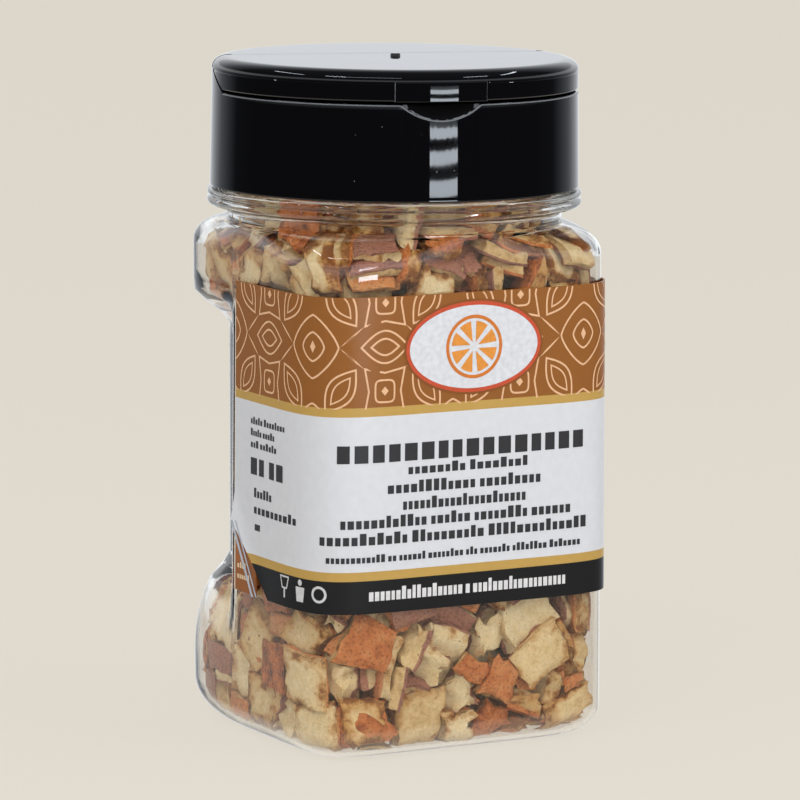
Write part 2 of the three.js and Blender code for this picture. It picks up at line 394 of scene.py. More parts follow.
@dataclass(frozen=True)
class GlossPolypropylene(Finish):
    """Black polypropylene from a polished mould: deep gloss, faint ripple, and specks of dust."""

    colour: str = "#060608"
    dust: str = "#8E8C88"
    ripple_size: float = 9.0
    dust_spacing: float = 3.4
    dust_radius: float = 0.045
    smooth_low: float = 0.015
    smooth_high: float = 0.032

    def wire(self, tree: bpy.types.NodeTree) -> None:
        """Glossy black with sparse dust and a slow ripple that bends its reflections."""
        where = add_node(tree, "TexCoord")
        specks = add_node(
            tree, "TexVoronoi",
            {"Vector": where.outputs["Object"], "Scale": per_mm(self.dust_spacing)},
        )
        near = add_node(
            tree, "Math",
            {0: specks.outputs["Distance"], 1: self.dust_radius / self.dust_spacing * 1.6},
            operation="LESS_THAN",
        )
        colour = add_node(
            tree, "Mix", {0: near.outputs[0], 6: self.colour, 7: self.dust}, data_type="RGBA"
        )
        smudge = add_node(
            tree, "TexNoise",
            {"Vector": where.outputs["Object"], "Scale": per_mm(6.0), "Detail": 4.0},
        )
        rough = add_node(
            tree, "MapRange",
            {"Value": smudge.outputs["Fac"], "From Min": 0.35, "From Max": 0.75,
             "To Min": self.smooth_low, "To Max": self.smooth_high},
        )
        ripple = add_node(
            tree, "TexNoise",
            {"Vector": where.outputs["Object"], "Scale": per_mm(self.ripple_size), "Detail": 0.0},
        )
        bump = add_node(
            tree, "Bump",
            {"Strength": 0.3, "Distance": 0.03 * MM, "Height": ripple.outputs["Fac"]},
        )
        plastic = add_node(
            tree, "BsdfPrincipled",
            {
                "Base Color": colour.outputs[2],
                "Roughness": rough.outputs["Result"],
                "IOR": 1.49,
                "Normal": bump.outputs["Normal"],
            },
        )
        add_node(tree, "OutputMaterial", {"Surface": plastic.outputs["BSDF"]})


@dataclass(frozen=True)
class PrintedFilm(Finish):
    """Gloss-varnished polypropylene label film, printed in bands of flat colour."""

    bands: tuple[tuple[float, str], ...] = ((0.0, "#DCDEE2"),)
    top: float = 81.9

    def wire(self, tree: bpy.types.NodeTree) -> None:
        """Bands by height, with the faint mottle of printed ink under a soft gloss."""
        where = add_node(tree, "TexCoord")
        parts = add_node(tree, "SeparateXYZ", {0: where.outputs["Object"]})
        share = add_node(
            tree, "Math", {0: parts.outputs["Z"], 1: 1 / (self.top * MM)}, operation="MULTIPLY"
        )
        ramp = add_node(
            tree, "ValToRGB", {0: share.outputs[0]},
            stops=[(height / self.top, code) for height, code in self.bands],
        )
        ramp.color_ramp.interpolation = "CONSTANT"
        mottle = add_node(
            tree, "TexNoise",
            {"Vector": where.outputs["Object"], "Scale": per_mm(1.6), "Detail": 3.0},
        )
        shade = add_node(
            tree, "MapRange",
            {"Value": mottle.outputs["Fac"], "From Min": 0.3, "From Max": 0.7,
             "To Min": 0.97, "To Max": 1.02},
        )
        ink = add_node(
            tree, "Mix", {0: 1.0, 6: ramp.outputs["Color"], 7: shade.outputs["Result"]},
            data_type="RGBA", blend_type="MULTIPLY",
        )
        film = add_node(
            tree, "BsdfPrincipled",
            {"Base Color": ink.outputs[2], "Roughness": 0.32, "IOR": 1.49},
        )
        add_node(tree, "OutputMaterial", {"Surface": film.outputs["BSDF"]})


@dataclass(frozen=True)
class Ink(Finish):
    """One printed ink on the label film, with a slightly uneven lay-down."""

    colour: str = "#DDB28C"

    def wire(self, tree: bpy.types.NodeTree) -> None:
        """A flat ink whose strength drifts a little, as offset ink does."""
        where = add_node(tree, "TexCoord")
        mottle = add_node(
            tree, "TexNoise",
            {"Vector": where.outputs["Object"], "Scale": per_mm(0.9), "Detail": 2.0},
        )
        shade = add_node(
            tree, "MapRange",
            {"Value": mottle.outputs["Fac"], "From Min": 0.3, "From Max": 0.7,
             "To Min": 0.9, "To Max": 1.06},
        )
        ink = add_node(
            tree, "Mix", {0: 1.0, 6: self.colour, 7: shade.outputs["Result"]},
            data_type="RGBA", blend_type="MULTIPLY",
        )
        film = add_node(
            tree, "BsdfPrincipled",
            {"Base Color": ink.outputs[2], "Roughness": 0.34, "IOR": 1.49},
        )
        add_node(tree, "OutputMaterial", {"Surface": film.outputs["BSDF"]})


@dataclass(frozen=True)
class DriedPeel(Finish):
    """Oven-dried orange peel: pitted rind on one side, cream pith on the other, toasted cut edges.

    It reads the peel attribute of each chip: red is the depth from the pith's face, 0, to the
    rind's, 1; green and alpha are the chip's own chances; blue rises to 1 at its cut edges.
    """

    pore_size: float = 0.7
    crumb_size: float = 0.55
    blotch_size: float = 2.6

    def wire(self, tree: bpy.types.NodeTree) -> None:
        """Blotched rind with pores over spongy pith, mixed by depth, with browned edges."""
        chip = add_node(tree, "Attribute", attribute_name="peel", attribute_type="GEOMETRY")
        facts = add_node(tree, "SeparateColor", {0: chip.outputs["Color"]})
        depth, tone, rim = (facts.outputs[name] for name in ("Red", "Green", "Blue"))
        where = add_node(tree, "TexCoord").outputs["Object"]
        blotch = add_node(
            tree, "TexNoise", {"Vector": where, "Scale": per_mm(self.blotch_size), "Detail": 5.0,
                               "Roughness": 0.62},
        ).outputs["Fac"]
        crumb = add_node(
            tree, "TexNoise", {"Vector": where, "Scale": per_mm(self.crumb_size), "Detail": 4.0,
                               "Roughness": 0.7},
        ).outputs["Fac"]
        pores = add_node(
            tree, "TexVoronoi", {"Vector": where, "Scale": per_mm(self.pore_size), "Randomness": 0.9},
        ).outputs["Distance"]
        ragged = add_node(tree, "Math", {0: crumb, 1: 0.16, 2: depth}, operation="MULTIPLY_ADD")
        on_rind = add_node(
            tree, "MapRange", {"Value": ragged.outputs[0], "From Min": 0.80, "From Max": 0.87}
        ).outputs["Result"]
        drift = add_node(tree, "Math", {0: tone, 1: 0.34, 2: blotch}, operation="MULTIPLY_ADD")
        rind = add_node(
            tree, "ValToRGB", {0: drift.outputs[0]},
            stops=[(0.36, "#5C2A12"), (0.47, "#985020"), (0.58, "#B96930"), (0.72, "#C67C44"),
                   (1.0, "#D29C64")],
        ).outputs["Color"]
        # A mauve grey mixed into the rind of chips with a high chance value: a painted sheen.
        sheen_share = add_node(
            tree, "MapRange", {"Value": chip.outputs["Alpha"], "From Min": 0.56, "From Max": 0.66,
                               "To Min": 0.0, "To Max": 0.78},
        ).outputs["Result"]
        sheened_rind = add_node(tree, "Mix", {0: sheen_share, 6: rind, 7: "#96695E"}, data_type="RGBA").outputs[2]
        pit = add_node(
            tree, "MapRange", {"Value": pores, "From Min": 0.05, "From Max": 0.42, "To Min": 0.5,
                               "To Max": 1.08},
        ).outputs["Result"]
        rind_tone = add_node(
            tree, "Mix", {0: 1.0, 6: sheened_rind, 7: pit}, data_type="RGBA", blend_type="MULTIPLY"
        ).outputs[2]
        pith_drift = add_node(tree, "Math", {0: tone, 1: 0.3, 2: blotch}, operation="MULTIPLY_ADD")
        pith = add_node(
            tree, "ValToRGB", {0: pith_drift.outputs[0]},
            stops=[(0.32, "#B88D56"), (0.44, "#DDB982"), (0.58, "#EDD09B"), (0.85, "#F6E2B8")],
        ).outputs["Color"]
        grainy = add_node(
            tree, "MapRange", {"Value": crumb, "From Min": 0.35, "From Max": 0.62, "To Min": 0.84,
                               "To Max": 1.04},
        ).outputs["Result"]
        pith_grain = add_node(
            tree, "Mix", {0: 1.0, 6: pith, 7: grainy}, data_type="RGBA", blend_type="MULTIPLY"
        ).outputs[2]
        patchy = add_node(tree, "Math", {0: blotch, 1: 2.0, 2: rim}, operation="MULTIPLY_ADD")
        browned = add_node(
            tree, "Math", {0: chip.outputs["Alpha"], 1: -0.7, 2: patchy.outputs[0]},
            operation="MULTIPLY_ADD",
        )
        gold = add_node(
            tree, "MapRange", {"Value": browned.outputs[0], "From Min": 1.4, "From Max": 1.75,
                               "To Min": 0.0, "To Max": 0.8},
        ).outputs["Result"]
        golden = add_node(
            tree, "Mix", {0: gold, 6: pith_grain, 7: "#C58A3C"}, data_type="RGBA"
        ).outputs[2]
        toast = add_node(
            tree, "MapRange", {"Value": browned.outputs[0], "From Min": 1.72, "From Max": 1.95,
                               "To Min": 0.0, "To Max": 0.9},
        ).outputs["Result"]
        toasted = add_node(
            tree, "Mix", {0: toast, 6: golden, 7: "#84491A"}, data_type="RGBA"
        ).outputs[2]
        flecked = add_node(tree, "Math", {0: rim, 1: 0.1, 2: crumb}, operation="MULTIPLY_ADD")
        speck = add_node(
            tree, "MapRange", {"Value": flecked.outputs[0], "From Min": 0.70, "From Max": 0.76,
                               "To Min": 0.0, "To Max": 0.85},
        ).outputs["Result"]
        specked = add_node(
            tree, "Mix", {0: speck, 6: toasted, 7: "#5E3A1A"}, data_type="RGBA"
        ).outputs[2]
        colour = add_node(
            tree, "Mix", {0: on_rind, 6: specked, 7: rind_tone}, data_type="RGBA"
        ).outputs[2]
        roughness = add_node(
            tree, "MapRange", {"Value": on_rind, "To Min": 0.86, "To Max": 0.5}
        ).outputs["Result"]
        relief = add_node(tree, "Mix", {0: on_rind, 2: crumb, 3: pores}, data_type="FLOAT").outputs[0]
        bump = add_node(tree, "Bump", {"Strength": 0.9, "Distance": 0.3 * MM, "Height": relief})
        flesh = add_node(
            tree, "BsdfPrincipled",
            {"Base Color": colour, "Roughness": roughness, "IOR": 1.45, "Normal": bump.outputs["Normal"]},
        )
        add_node(tree, "OutputMaterial", {"Surface": flesh.outputs["BSDF"]})


# ---- The jar's cross-section ----------------------------------------------------------------------


@dataclass(frozen=True)
class JarSection:
    """The rounded square that the jar's wall follows, its finger recesses and its round neck."""

    half_x: float = 30.4
    half_y: float = 30.0
    wall: float = 0.65
    floor: float = 0.75
    shoulder_start: float = 86.9
    shoulder_top: float = 91.6
    front_foot: float = 7.2
    front_shoulder: float = 5.8
    back_foot: float = 4.4
    back_shoulder: float = 5.0
    front_fillet: float = 5.4
    back_fillet: float = 8.0
    fillet_blend_start: float = 5.0
    fillet_blend_end: float = 26.0
    squeeze: float = 0.26
    grip_front: float = 3.6
    grip_reach: float = 5.5
    low_bulge: float = 12.0
    low_ledge: float = 27.2
    high_start: float = 71.1
    high_end: float = 78.6
    rib_y: float = 2.8
    rib_half: float = 0.9
    rib_height: float = 0.2
    neck_radius: float = 30.0
    bore_radius: float = 28.8
    bead_foot: float = 93.2
    rim: float = 113.0
    corner_steps: int = 22
    corner_spread: float = 1.3

    def angles(self) -> list[float]:
        """Directions round the section, close together at the corners and on the two ribs."""
        made = []
        for corner in range(4):
            for step in range(-self.corner_steps, self.corner_steps):
                share = abs(step / self.corner_steps) ** self.corner_spread
                made.append((corner + 0.5 + math.copysign(share, step) * 0.5) * math.pi / 2)
        for part in (-1.0, -0.5, 0.0, 0.5, 1.0):
            lean = math.atan2(self.rib_y + part * self.rib_half, self.half_x)
            made.extend((lean, math.pi - lean))
        return sorted(made)

    def square_radius(self, angle: float, z: float, inset: float) -> float:
        """Radius of the rounded square in one direction at a height, moved in by inset."""
        climb = min(max(z / self.shoulder_start, 0.0), 1.0)
        front = mix(self.front_foot, self.front_shoulder, climb)
        back = mix(self.back_foot, self.back_shoulder, climb)
        power = front if math.sin(angle) < 0 else back
        across = abs(math.cos(angle) / (self.half_x - inset)) ** power
        along = abs(math.sin(angle) / (self.half_y - inset)) ** power
        return (across + along) ** (-1 / power)

    def roundness(self, z: float, inset: float) -> float:
        """How far the section has turned from the square, 0, into the round neck, 1."""
        climb = (z + inset - self.shoulder_start) / (self.shoulder_top - self.shoulder_start)
        share = min(max(climb, 0.0), 1.0)
        return 1 - math.sqrt(1 - share * share)

    def grip_depth(self, z: float, inset: float) -> float:
        """Depth of the finger recess at a height, from 0 to 1."""
        rise = (z + inset - self.low_bulge) / (self.low_ledge - self.low_bulge)
        share = min(max(rise, 0.0), 1.0)
        low = 1 - math.sqrt(1 - share * share)
        return low * (1 - smooth_step(z - inset, self.high_start, self.high_end))

    def point(self, angle: float, z: float, inset: float, ribbed: bool = False) -> Vector:
        """A point on the wall in millimetres, moved in by inset, or out where it is negative."""
        square = self.square_radius(angle, z, inset)
        radius = mix(square, self.neck_radius - inset, self.roundness(z, inset))
        y = radius * math.sin(angle)
        reach = smooth_step(y, self.grip_front - inset, self.grip_front + self.grip_reach - inset)
        x = radius * math.cos(angle) * (1 - self.squeeze * self.grip_depth(z, inset) * reach)
        if ribbed:
            off = min(abs(y - self.rib_y) / self.rib_half, 1.0)
            x += math.copysign(self.rib_height * 0.5 * (1 + math.cos(math.pi * off)), x)
        return Vector((x, y, z))

    def fillet_radius(self, angle: float) -> float:
        """Radius of the rounded bottom edge, which is fuller at the back corners."""
        y = self.half_y * math.sin(angle)
        share = smooth_step(y, self.fillet_blend_start, self.fillet_blend_end)
        return mix(self.front_fillet, self.back_fillet, share)

    def fillet_point(self, angle: float, base: float, inset: float, turn: float) -> Vector:
        """A point on the rounded bottom edge, turn radians up from the foot."""
        radius = self.fillet_radius(angle) - inset
        z = base + radius * (1 - math.cos(turn))
        return self.point(angle, z, inset + radius * (1 - math.sin(turn)))


# ---- Jar ------------------------------------------------------------------------------------------


@dataclass
class ClearJar:
    """The blown PET jar: one skin from its foot up to the rim and down inside to its floor."""

    section: JarSection
    foot_inset: float = 12.0
    foot_slope: float = 3.0
    push_up: float = 0.5
    wall_step: float = 2.2
    fillet_steps: int = 10
    shoulder_steps: int = 9

    def wall_heights(self, low: float, high: float) -> list[float]:
        """Even heights up the straight wall."""
        steps = round((high - low) / self.wall_step)
        return [mix(low, high, step / steps) for step in range(steps + 1)]

    def shoulder_heights(self, inset: float) -> list[float]:
        """Heights up the shoulder, closer together near its top, where it turns in fast."""
        low = self.section.shoulder_start - inset
        climb = self.section.shoulder_top - self.section.shoulder_start
        quarter = math.pi / 2
        steps = self.shoulder_steps
        return [low + climb * math.sin(quarter * step / steps) for step in range(1, steps + 1)]

    def neck_profile(self) -> list[tuple[float, float]]:
        """Radius and height up the outside of the neck: a foot groove and two thin beads."""
        section = self.section
        return [
            (30.0, 91.75), (29.75, 91.95), (29.75, 92.25), (30.0, 92.5), (30.0, section.bead_foot),
            (30.5, 93.75), (32.4, 94.35), (33.1, 94.55), (33.42, 94.85), (33.5, 95.15),
            (33.42, 95.5), (33.05, 95.75), (33.0, 95.95), (33.05, 96.15), (33.42, 96.4),
            (33.5, 96.7), (33.4, 97.0), (33.1, 97.25), (32.7, 97.3), (30.1, 97.3),
            (30.0, 97.5), (30.0, 112.7), (29.8, section.rim), (29.0, section.rim),
            (section.bore_radius, 112.7),
        ]

    def build(self) -> bpy.types.Object:
        """Build and dress the jar.

        Returns:
            The jar, riding on the jar's body.
        """
        section = self.section
        angles = section.angles()
        places: list[Callable[[float], Vector]] = []
        foot = self.foot_inset
        places.append(lambda a: section.point(a, self.push_up, foot + self.foot_slope))
        places.append(lambda a: section.point(a, 0.1, foot + 0.4))
        places.append(lambda a: section.point(a, 0.0, foot))
        for step in range(self.fillet_steps + 1):
            turn = step / self.fillet_steps * math.pi / 2
            places.append(lambda a, t=turn: section.fillet_point(a, 0.0, 0.0, t))
        for z in self.wall_heights(9.0, section.shoulder_start):
            places.append(lambda a, z=z: section.point(a, z, 0.0, True))
        for z in self.shoulder_heights(0.0):
            places.append(lambda a, z=z: section.point(a, z, 0.0))
        for radius, z in self.neck_profile():
            places.append(lambda a, r=radius, z=z: Vector((r * math.cos(a), r * math.sin(a), z)))
        bore, wall = section.bore_radius, section.wall
        places.append(lambda a: Vector((bore * math.cos(a), bore * math.sin(a), section.bead_foot)))
        for z in reversed(self.shoulder_heights(wall)):
            places.append(lambda a, z=z: section.point(a, z, wall))
        for z in reversed(self.wall_heights(9.0, section.shoulder_start - wall)):
            places.append(lambda a, z=z: section.point(a, z, wall))
        for step in range(self.fillet_steps, -1, -1):
            turn = step / self.fillet_steps * math.pi / 2
            places.append(lambda a, t=turn: section.fillet_point(a, section.floor, wall, t))

        def place(ring: int, side: int | None) -> Vector:
            if side is not None:
                return places[ring](angles[side])
            return Vector((0.0, 0.0, sum(places[ring](a).z for a in angles) / len(angles)))

        jar = ring_tower("clear_jar", len(angles), len(places), place)
        smooth(jar, 50.0)
        BlownPet("PET, stretch-blown").put_on(jar)
        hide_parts("jar")
        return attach(jar, Body.JAR.value)


# ---- Peel -----------------------------------------------------------------------------------------


@dataclass(frozen=True)
class Cut:
    """How one kind of chip is cut: its sizes in millimetres, and its share of the heap."""

    width: float
    depth: float
    thickness: float
    curl: float
    taper: float
    lumps: float
    share: int


class ChipKind(Enum):
    """The kinds of chip that a dicing machine leaves."""

    SQUARE = Cut(8.4, 8.0, 2.4, 34.0, 0.04, 0.7, 3)
    LARGE = Cut(11.2, 9.2, 2.7, 26.0, 0.22, 1.1, 3)
    STRIP = Cut(11.0, 4.7, 3.0, 22.0, 0.10, 1.0, 2)
    CHUNK = Cut(6.8, 5.8, 4.2, 60.0, 0.12, 2.0, 4)
    SLICE = Cut(13.4, 8.8, 2.6, 24.0, 0.45, 1.0, 2)
    SLIVER = Cut(6.4, 3.4, 2.2, 18.0, 0.15, 1.2, 2)
    CRUMB = Cut(3.6, 3.0, 2.1, 40.0, 0.15, 1.4, 2)


@dataclass(eq=False)
class Chip:
    """One modelled chip: its fine mesh, a plainer one, and the eight corners that it falls with."""

    fine: bpy.types.Mesh
    plain: bpy.types.Mesh
    rough: bpy.types.Mesh


@dataclass
class PeelHeap:
    """Dried, cut peel poured into the jar: chips that fell and settled, over a dark core."""

    section: JarSection
    count: int = 1300
    variants: int = 4
    cuts: int = 4
    clearance: float = 0.22
    core_half: float = 20.6
    core_top: float = 84.0
    roof_top: float = 99.0
    roof_half: float = 5.0
    pour_top: float = 110.5
    turned_over: float = 0.3
    heap_top: float = 112.2
    release: float = 108.0
    across: int = 5
    spacing: float = 11.0
    layer_rise: float = 9.5
    big: float = 20.0
    friction: float = 0.3
    staves: int = 20
    frames: int = 84
    tap_start: int = 36
    tap_end: int = 72
    tap_pull: float = 7.0
    seed: int = 5

    def __post_init__(self) -> None:
        """Start the heap's own random order."""
        self.random = random.Random(self.seed)

    def shaped(self, cut: Cut, corners: Sequence[tuple[float, float]], drift: Vector,
               u: float, v: float, w: float) -> Vector:
        """Lay a point of a unit cube on a chip.

        Args:
            cut: The chip's kind.
            corners: Where its four corners lie, as shares of its half width and half depth.
            drift: An offset into the noise that roughens it.
            u: Place across it, from -1 to 1.
            v: Place along it, from -1 to 1.
            w: Place through it, from the pith's face, -1, to the rind's, 1.

        Returns:
            The point in millimetres.
        """
        weights = ((1 - u) * (1 - v), (1 + u) * (1 - v), (1 + u) * (1 + v), (1 - u) * (1 + v))
        x = sum(weight * corner[0] for weight, corner in zip(weights, corners)) / 4 * cut.width / 2
        y = sum(weight * corner[1] for weight, corner in zip(weights, corners)) / 4 * cut.depth / 2
        lean = 1 + 0.05 * w
        edge = max(abs(u), abs(v))
        wander = noise.noise_vector(Vector((x, y, w * 1.5)) * 0.45 + drift)
        chipped = noise.noise_vector(Vector((x, y, w * 2.0)) * 1.3 + drift)
        x = x * lean + (wander.x * 0.8 + chipped.x * 0.42) * edge * cut.lumps
        y = y * lean + (wander.y * 0.8 + chipped.y * 0.42) * edge * cut.lumps
        thick = cut.thickness * (1 - cut.taper * 0.5 * (1 + v) * 0.6)
        z = w * thick / 2 * (1 - 0.16 * edge**6)
        if w < 0:
            z += (wander.z * 0.85 + chipped.z * 0.5) * cut.lumps
        else:
            z += wander.z * 0.45 * (cut.lumps - 0.7)
        return Vector((x, y, z - x * x / (2 * cut.curl) - y * y / (3 * cut.curl)))

    def model(self, kind: ChipKind, number: int) -> Chip:
        """Model one chip: a cube subdivided, then laid on an uneven, curled quarter of peel."""
        cut = kind.value
        pull = 0.13 + cut.taper * 0.5
        square = ((-1, -1), (1, -1), (1, 1), (-1, 1))
        corners = []
        for x, y in square:
            narrow = 1 - cut.taper if y > 0 else 1.0
            corners.append((x * narrow * (1 + self.random.uniform(-pull, 0.1)),
                            y * (1 + self.random.uniform(-pull, 0.1))))
        drift = Vector([self.random.uniform(-50, 50) for _ in range(3)])
        meshes = []
        for detail in (self.cuts, 1, 0):
            deselect()
            bpy.ops.mesh.primitive_cube_add(size=2.0)
            shape = bpy.context.object
            if detail:
                edit(shape)
                bpy.ops.mesh.select_all(action="SELECT")
                bpy.ops.mesh.subdivide(number_cuts=detail)
                close_edit()
            facts = shape.data.attributes.new("peel", "FLOAT_COLOR", "POINT")
            for vertex, fact in zip(shape.data.vertices, facts.data):
                u, v, w = vertex.co
                fact.color = ((w + 1) / 2, 0.5, max(abs(u), abs(v)), 0.5)
                vertex.co = self.shaped(cut, corners, drift, u, v, w)
            mesh = shape.data
            mesh.name = f"{kind.name.lower()}_{number}_{detail}"
            bpy.data.objects.remove(shape)
            meshes.append(mesh)
        return Chip(*meshes)

    def vessel(self) -> list[bpy.types.Object]:
        """The jar's widest section, straight up, as thick staves that chips can't slip between."""
        high = self.release + 40 + self.layer_rise * self.count / self.across**2
        angles = [math.tau * (step + 0.5) / self.staves for step in range(self.staves)]
        made = []
        for start, end in zip(angles, [*angles[1:], angles[0] + math.tau]):
            deselect()
            bpy.ops.mesh.primitive_cube_add(size=2.0)
            stave = bpy.context.object
            for vertex in stave.data.vertices:
                u, v, w = vertex.co
                angle = start if u < 0 else end
                reach = self.straight_reach(angle, self.clearance) + (12.0 if v > 0 else 0.0)
                point = (reach * math.cos(angle), reach * math.sin(angle), high if w > 0 else -20.0)
                vertex.co = Vector(point)
            made.append(stave)
        return made

    def hold(self, pieces: Sequence[bpy.types.Object]) -> None:
        """Make pieces, given in millimetres, something that falling chips rest on."""
        for piece in pieces:
            piece.data.transform(Matrix.Scale(self.big * MM, 4))
        pick(*pieces)
        bpy.ops.rigidbody.objects_add(type="PASSIVE")
        for piece in pieces:
            body = piece.rigid_body
            body.collision_shape = "CONVEX_HULL"
            body.friction = self.friction
            body.use_margin = True
            body.collision_margin = 0.001

    def pour(self, chips: Sequence[Chip]) -> list[tuple[Chip, Matrix]]:
        """Drop the chips into the vessel and let them settle.

        Args:
            chips: The modelled chips.

        Returns:
            Each chip that fell, and where it came to rest, in millimetres.
        """
        scene = bpy.context.scene
        bpy.ops.rigidbody.world_add()
        world = scene.rigidbody_world
        world.substeps_per_frame = 8
        world.solver_iterations = 12
        scene.gravity = (0.0, 0.0, -9.81)
        unit = MM * self.big
        floor = self.section.floor + self.clearance
        fixed = [
            self.block(45.0, 45.0, floor - 20, floor),
            self.block(self.core_half, self.core_half, 0.0, self.core_top),
            self.block(self.core_half, self.roof_half, self.core_top, self.roof_top),
        ]
        fixed.extend(self.vessel())
        self.hold(fixed)
        for chip in dict.fromkeys(chips):
            chip.rough.transform(Matrix.Scale(unit, 4))
        falling = []
        for number in range(self.count):
            chip = self.random.choice(chips)
            falling.append((chip, self.released(number, chip, unit)))
        pick(*[piece for _, piece in falling])
        bpy.ops.rigidbody.objects_add(type="ACTIVE")
        for _, piece in falling:
            body = piece.rigid_body
            body.collision_shape = "CONVEX_HULL"
            body.friction = self.friction
            body.restitution = 0.0
            body.mass = 0.1
            body.linear_damping = 0.06
            body.angular_damping = 0.15
            body.use_margin = True
            body.collision_margin = 0.0
        world.point_cache.frame_start = 1
        world.point_cache.frame_end = self.frames
        for step in range(1, self.frames + 1):
            lean = self.tap_pull if self.tap_start <= step < self.tap_end else 0.0
            scene.gravity = (lean * math.cos(0.9 * step), lean * math.sin(0.9 * step), -9.81)
            scene.frame_set(step)
        rest = []
        for chip, piece in falling:
            place, turn, _ = piece.matrix_world.decompose()
            rest.append((chip, Matrix.LocRotScale(place / unit, turn, None)))
        bpy.ops.rigidbody.world_remove()
        for piece in (*fixed, *[piece for _, piece in falling]):
            bpy.data.objects.remove(piece)
        scene.frame_set(1)
        return rest

    def released(self, number: int, chip: Chip, unit: float) -> bpy.types.Object:
        """Hang one chip at its start, in a loose tower of layers above the core."""
        piece = bpy.data.objects.new(f"falling_{number:03d}", chip.rough)
        bpy.context.scene.collection.objects.link(piece)
        layer, place = divmod(number, self.across**2)
        row, column = divmod(place, self.across)
        middle = (self.across - 1) / 2
        x = (column - middle) * self.spacing + self.random.uniform(-1, 1)
        y = (row - middle) * self.spacing + self.random.uniform(-1, 1)
        piece.location = Vector((x, y, self.release + layer * self.layer_rise)) * unit
        piece.rotation_euler = [self.random.uniform(0, math.tau) for _ in range(3)]
        return piece

    def block(self, half: float, top_half: float, low: float, high: float) -> bpy.types.Object:
        """A square block round the axis, or a hipped roof, for chips to fall on."""
        deselect()
        bpy.ops.mesh.primitive_cube_add(size=2.0)
        block = bpy.context.object
        for vertex in block.data.vertices:
            u, v, w = vertex.co
            reach = top_half if w > 0 else half
            vertex.co = Vector((u * reach, v * reach, high if w > 0 else low))
        return block

    def straight_reach(self, angle: float, gap: float) -> float:
        """Distance from the axis to the straight vessel that the chips fall in."""
        return self.section.square_radius(angle, 54.0, self.section.wall + gap)

    def fitted(self, point: Vector) -> Vector:
        """Move a point of the straight heap to where the jar's own inside would have pressed it."""
        section = self.section
        inset = section.wall + 0.12
        angle = math.atan2(point.y, point.x)
        z = min(max(point.z, section.floor + 0.12), self.heap_top)
        share = min(math.hypot(point.x, point.y) / self.straight_reach(angle, 0.12), 1.0)
        if z > section.bead_foot:
            reach = (section.bore_radius - 0.12) * share
            return Vector((reach * math.cos(angle), reach * math.sin(angle), z))
        radius = section.fillet_radius(angle) - inset
        drop = min(max(1 - (z - section.floor) / radius, 0.0), 1.0)
        wall = section.point(angle, z, inset + radius * (1 - math.sqrt(1 - drop * drop)))
        return Vector((wall.x * share, wall.y * share, z))

    def lay(self, rest: Sequence[tuple[Chip, Matrix]]) -> list[bpy.types.Object]:
        """Lay a fine chip wherever one came to rest, joined by layers of the heap."""
        zones: dict[int, list[bpy.types.Object]] = {}
        for number, (chip, place) in enumerate(rest):
            centre = place.translation
            if not 0.0 < centre.z < self.pour_top or math.hypot(centre.x, centre.y) > 46:
                continue
            covered = centre.y < 0.0 and 30.0 < centre.z < 78.0
            mesh = (chip.plain if covered else chip.fine).copy()
            tone, chance = self.random.random(), self.random.random()
            face = place.to_3x3() @ Vector((0.0, 0.0, 1.0))
            if self.random.random() < self.turned_over and face.xy.dot(centre.xy) > 0:
                place = place @ Matrix.Rotation(math.pi, 4, "X")
            for fact in mesh.attributes["peel"].data:
                red, _, blue, _ = fact.color
                fact.color = (red, tone, blue, chance)
            mesh.transform(place)
            for vertex in mesh.vertices:
                vertex.co = self.fitted(vertex.co) * MM
            piece = bpy.data.objects.new(f"chip_{number:03d}", mesh)
            bpy.context.scene.collection.objects.link(piece)
            zones.setdefault(int(centre.z // 38), []).append(piece)
        return [joined(f"peel_chips_{zone}", zones[zone]) for zone in sorted(zones)]

    def core(self) -> bpy.types.Object:
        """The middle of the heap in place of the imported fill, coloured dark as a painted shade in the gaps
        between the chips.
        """
        rings, sides = 40, 72

        def place(ring: int, side: int | None) -> Vector:
            z = mix(self.section.floor + 0.8, self.core_top, ring / (rings - 1))
            if side is None:
                return Vector((0.0, 0.0, z))
            angle = side / sides * math.tau
            ends = min(1.0, 0.72 + 0.28 * math.sin(math.pi * ring / (rings - 1)) * 6)
            square = (abs(math.cos(angle)) ** 6 + abs(math.sin(angle)) ** 6) ** (-1 / 6)
            rough = noise.noise(Vector((math.cos(angle) * 3, math.sin(angle) * 3, z * 0.16)))
            reach = (self.core_half * square + 1.4 * rough) * ends
            return Vector((reach * math.cos(angle), reach * math.sin(angle), z))

        core = ring_tower("peel_core", sides, rings, place)
        # Pith-side depth, the lowest tone and full cut-edge toasting everywhere: a dark painted shade for the
        # deep gaps between the chips.
        facts = core.data.attributes.new("peel", "FLOAT_COLOR", "POINT")
        for fact in facts.data:
            fact.color = (0.2, 0.0, 1.0, 0.0)
        return core

    def build(self) -> list[bpy.types.Object]:
        """Build and dress the heap.

        Returns:
            The core and the joined chips, riding on the jar's body.
        """
        chips = []
        for kind in ChipKind:
            for number in range(self.variants):
                chips.extend([self.model(kind, number)] * kind.value.share)
        made = [self.core()]
        made.extend(self.lay(self.pour(chips)))
        for piece in made:
            smooth(piece, 75.0)
            DriedPeel("dried orange peel").put_on(piece)
            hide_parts("peel_fill")
            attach(piece, Body.JAR.value)
        return made


# ---- Label ----------------------------------------------------------------------------------------


Outline = list[tuple[float, float]]


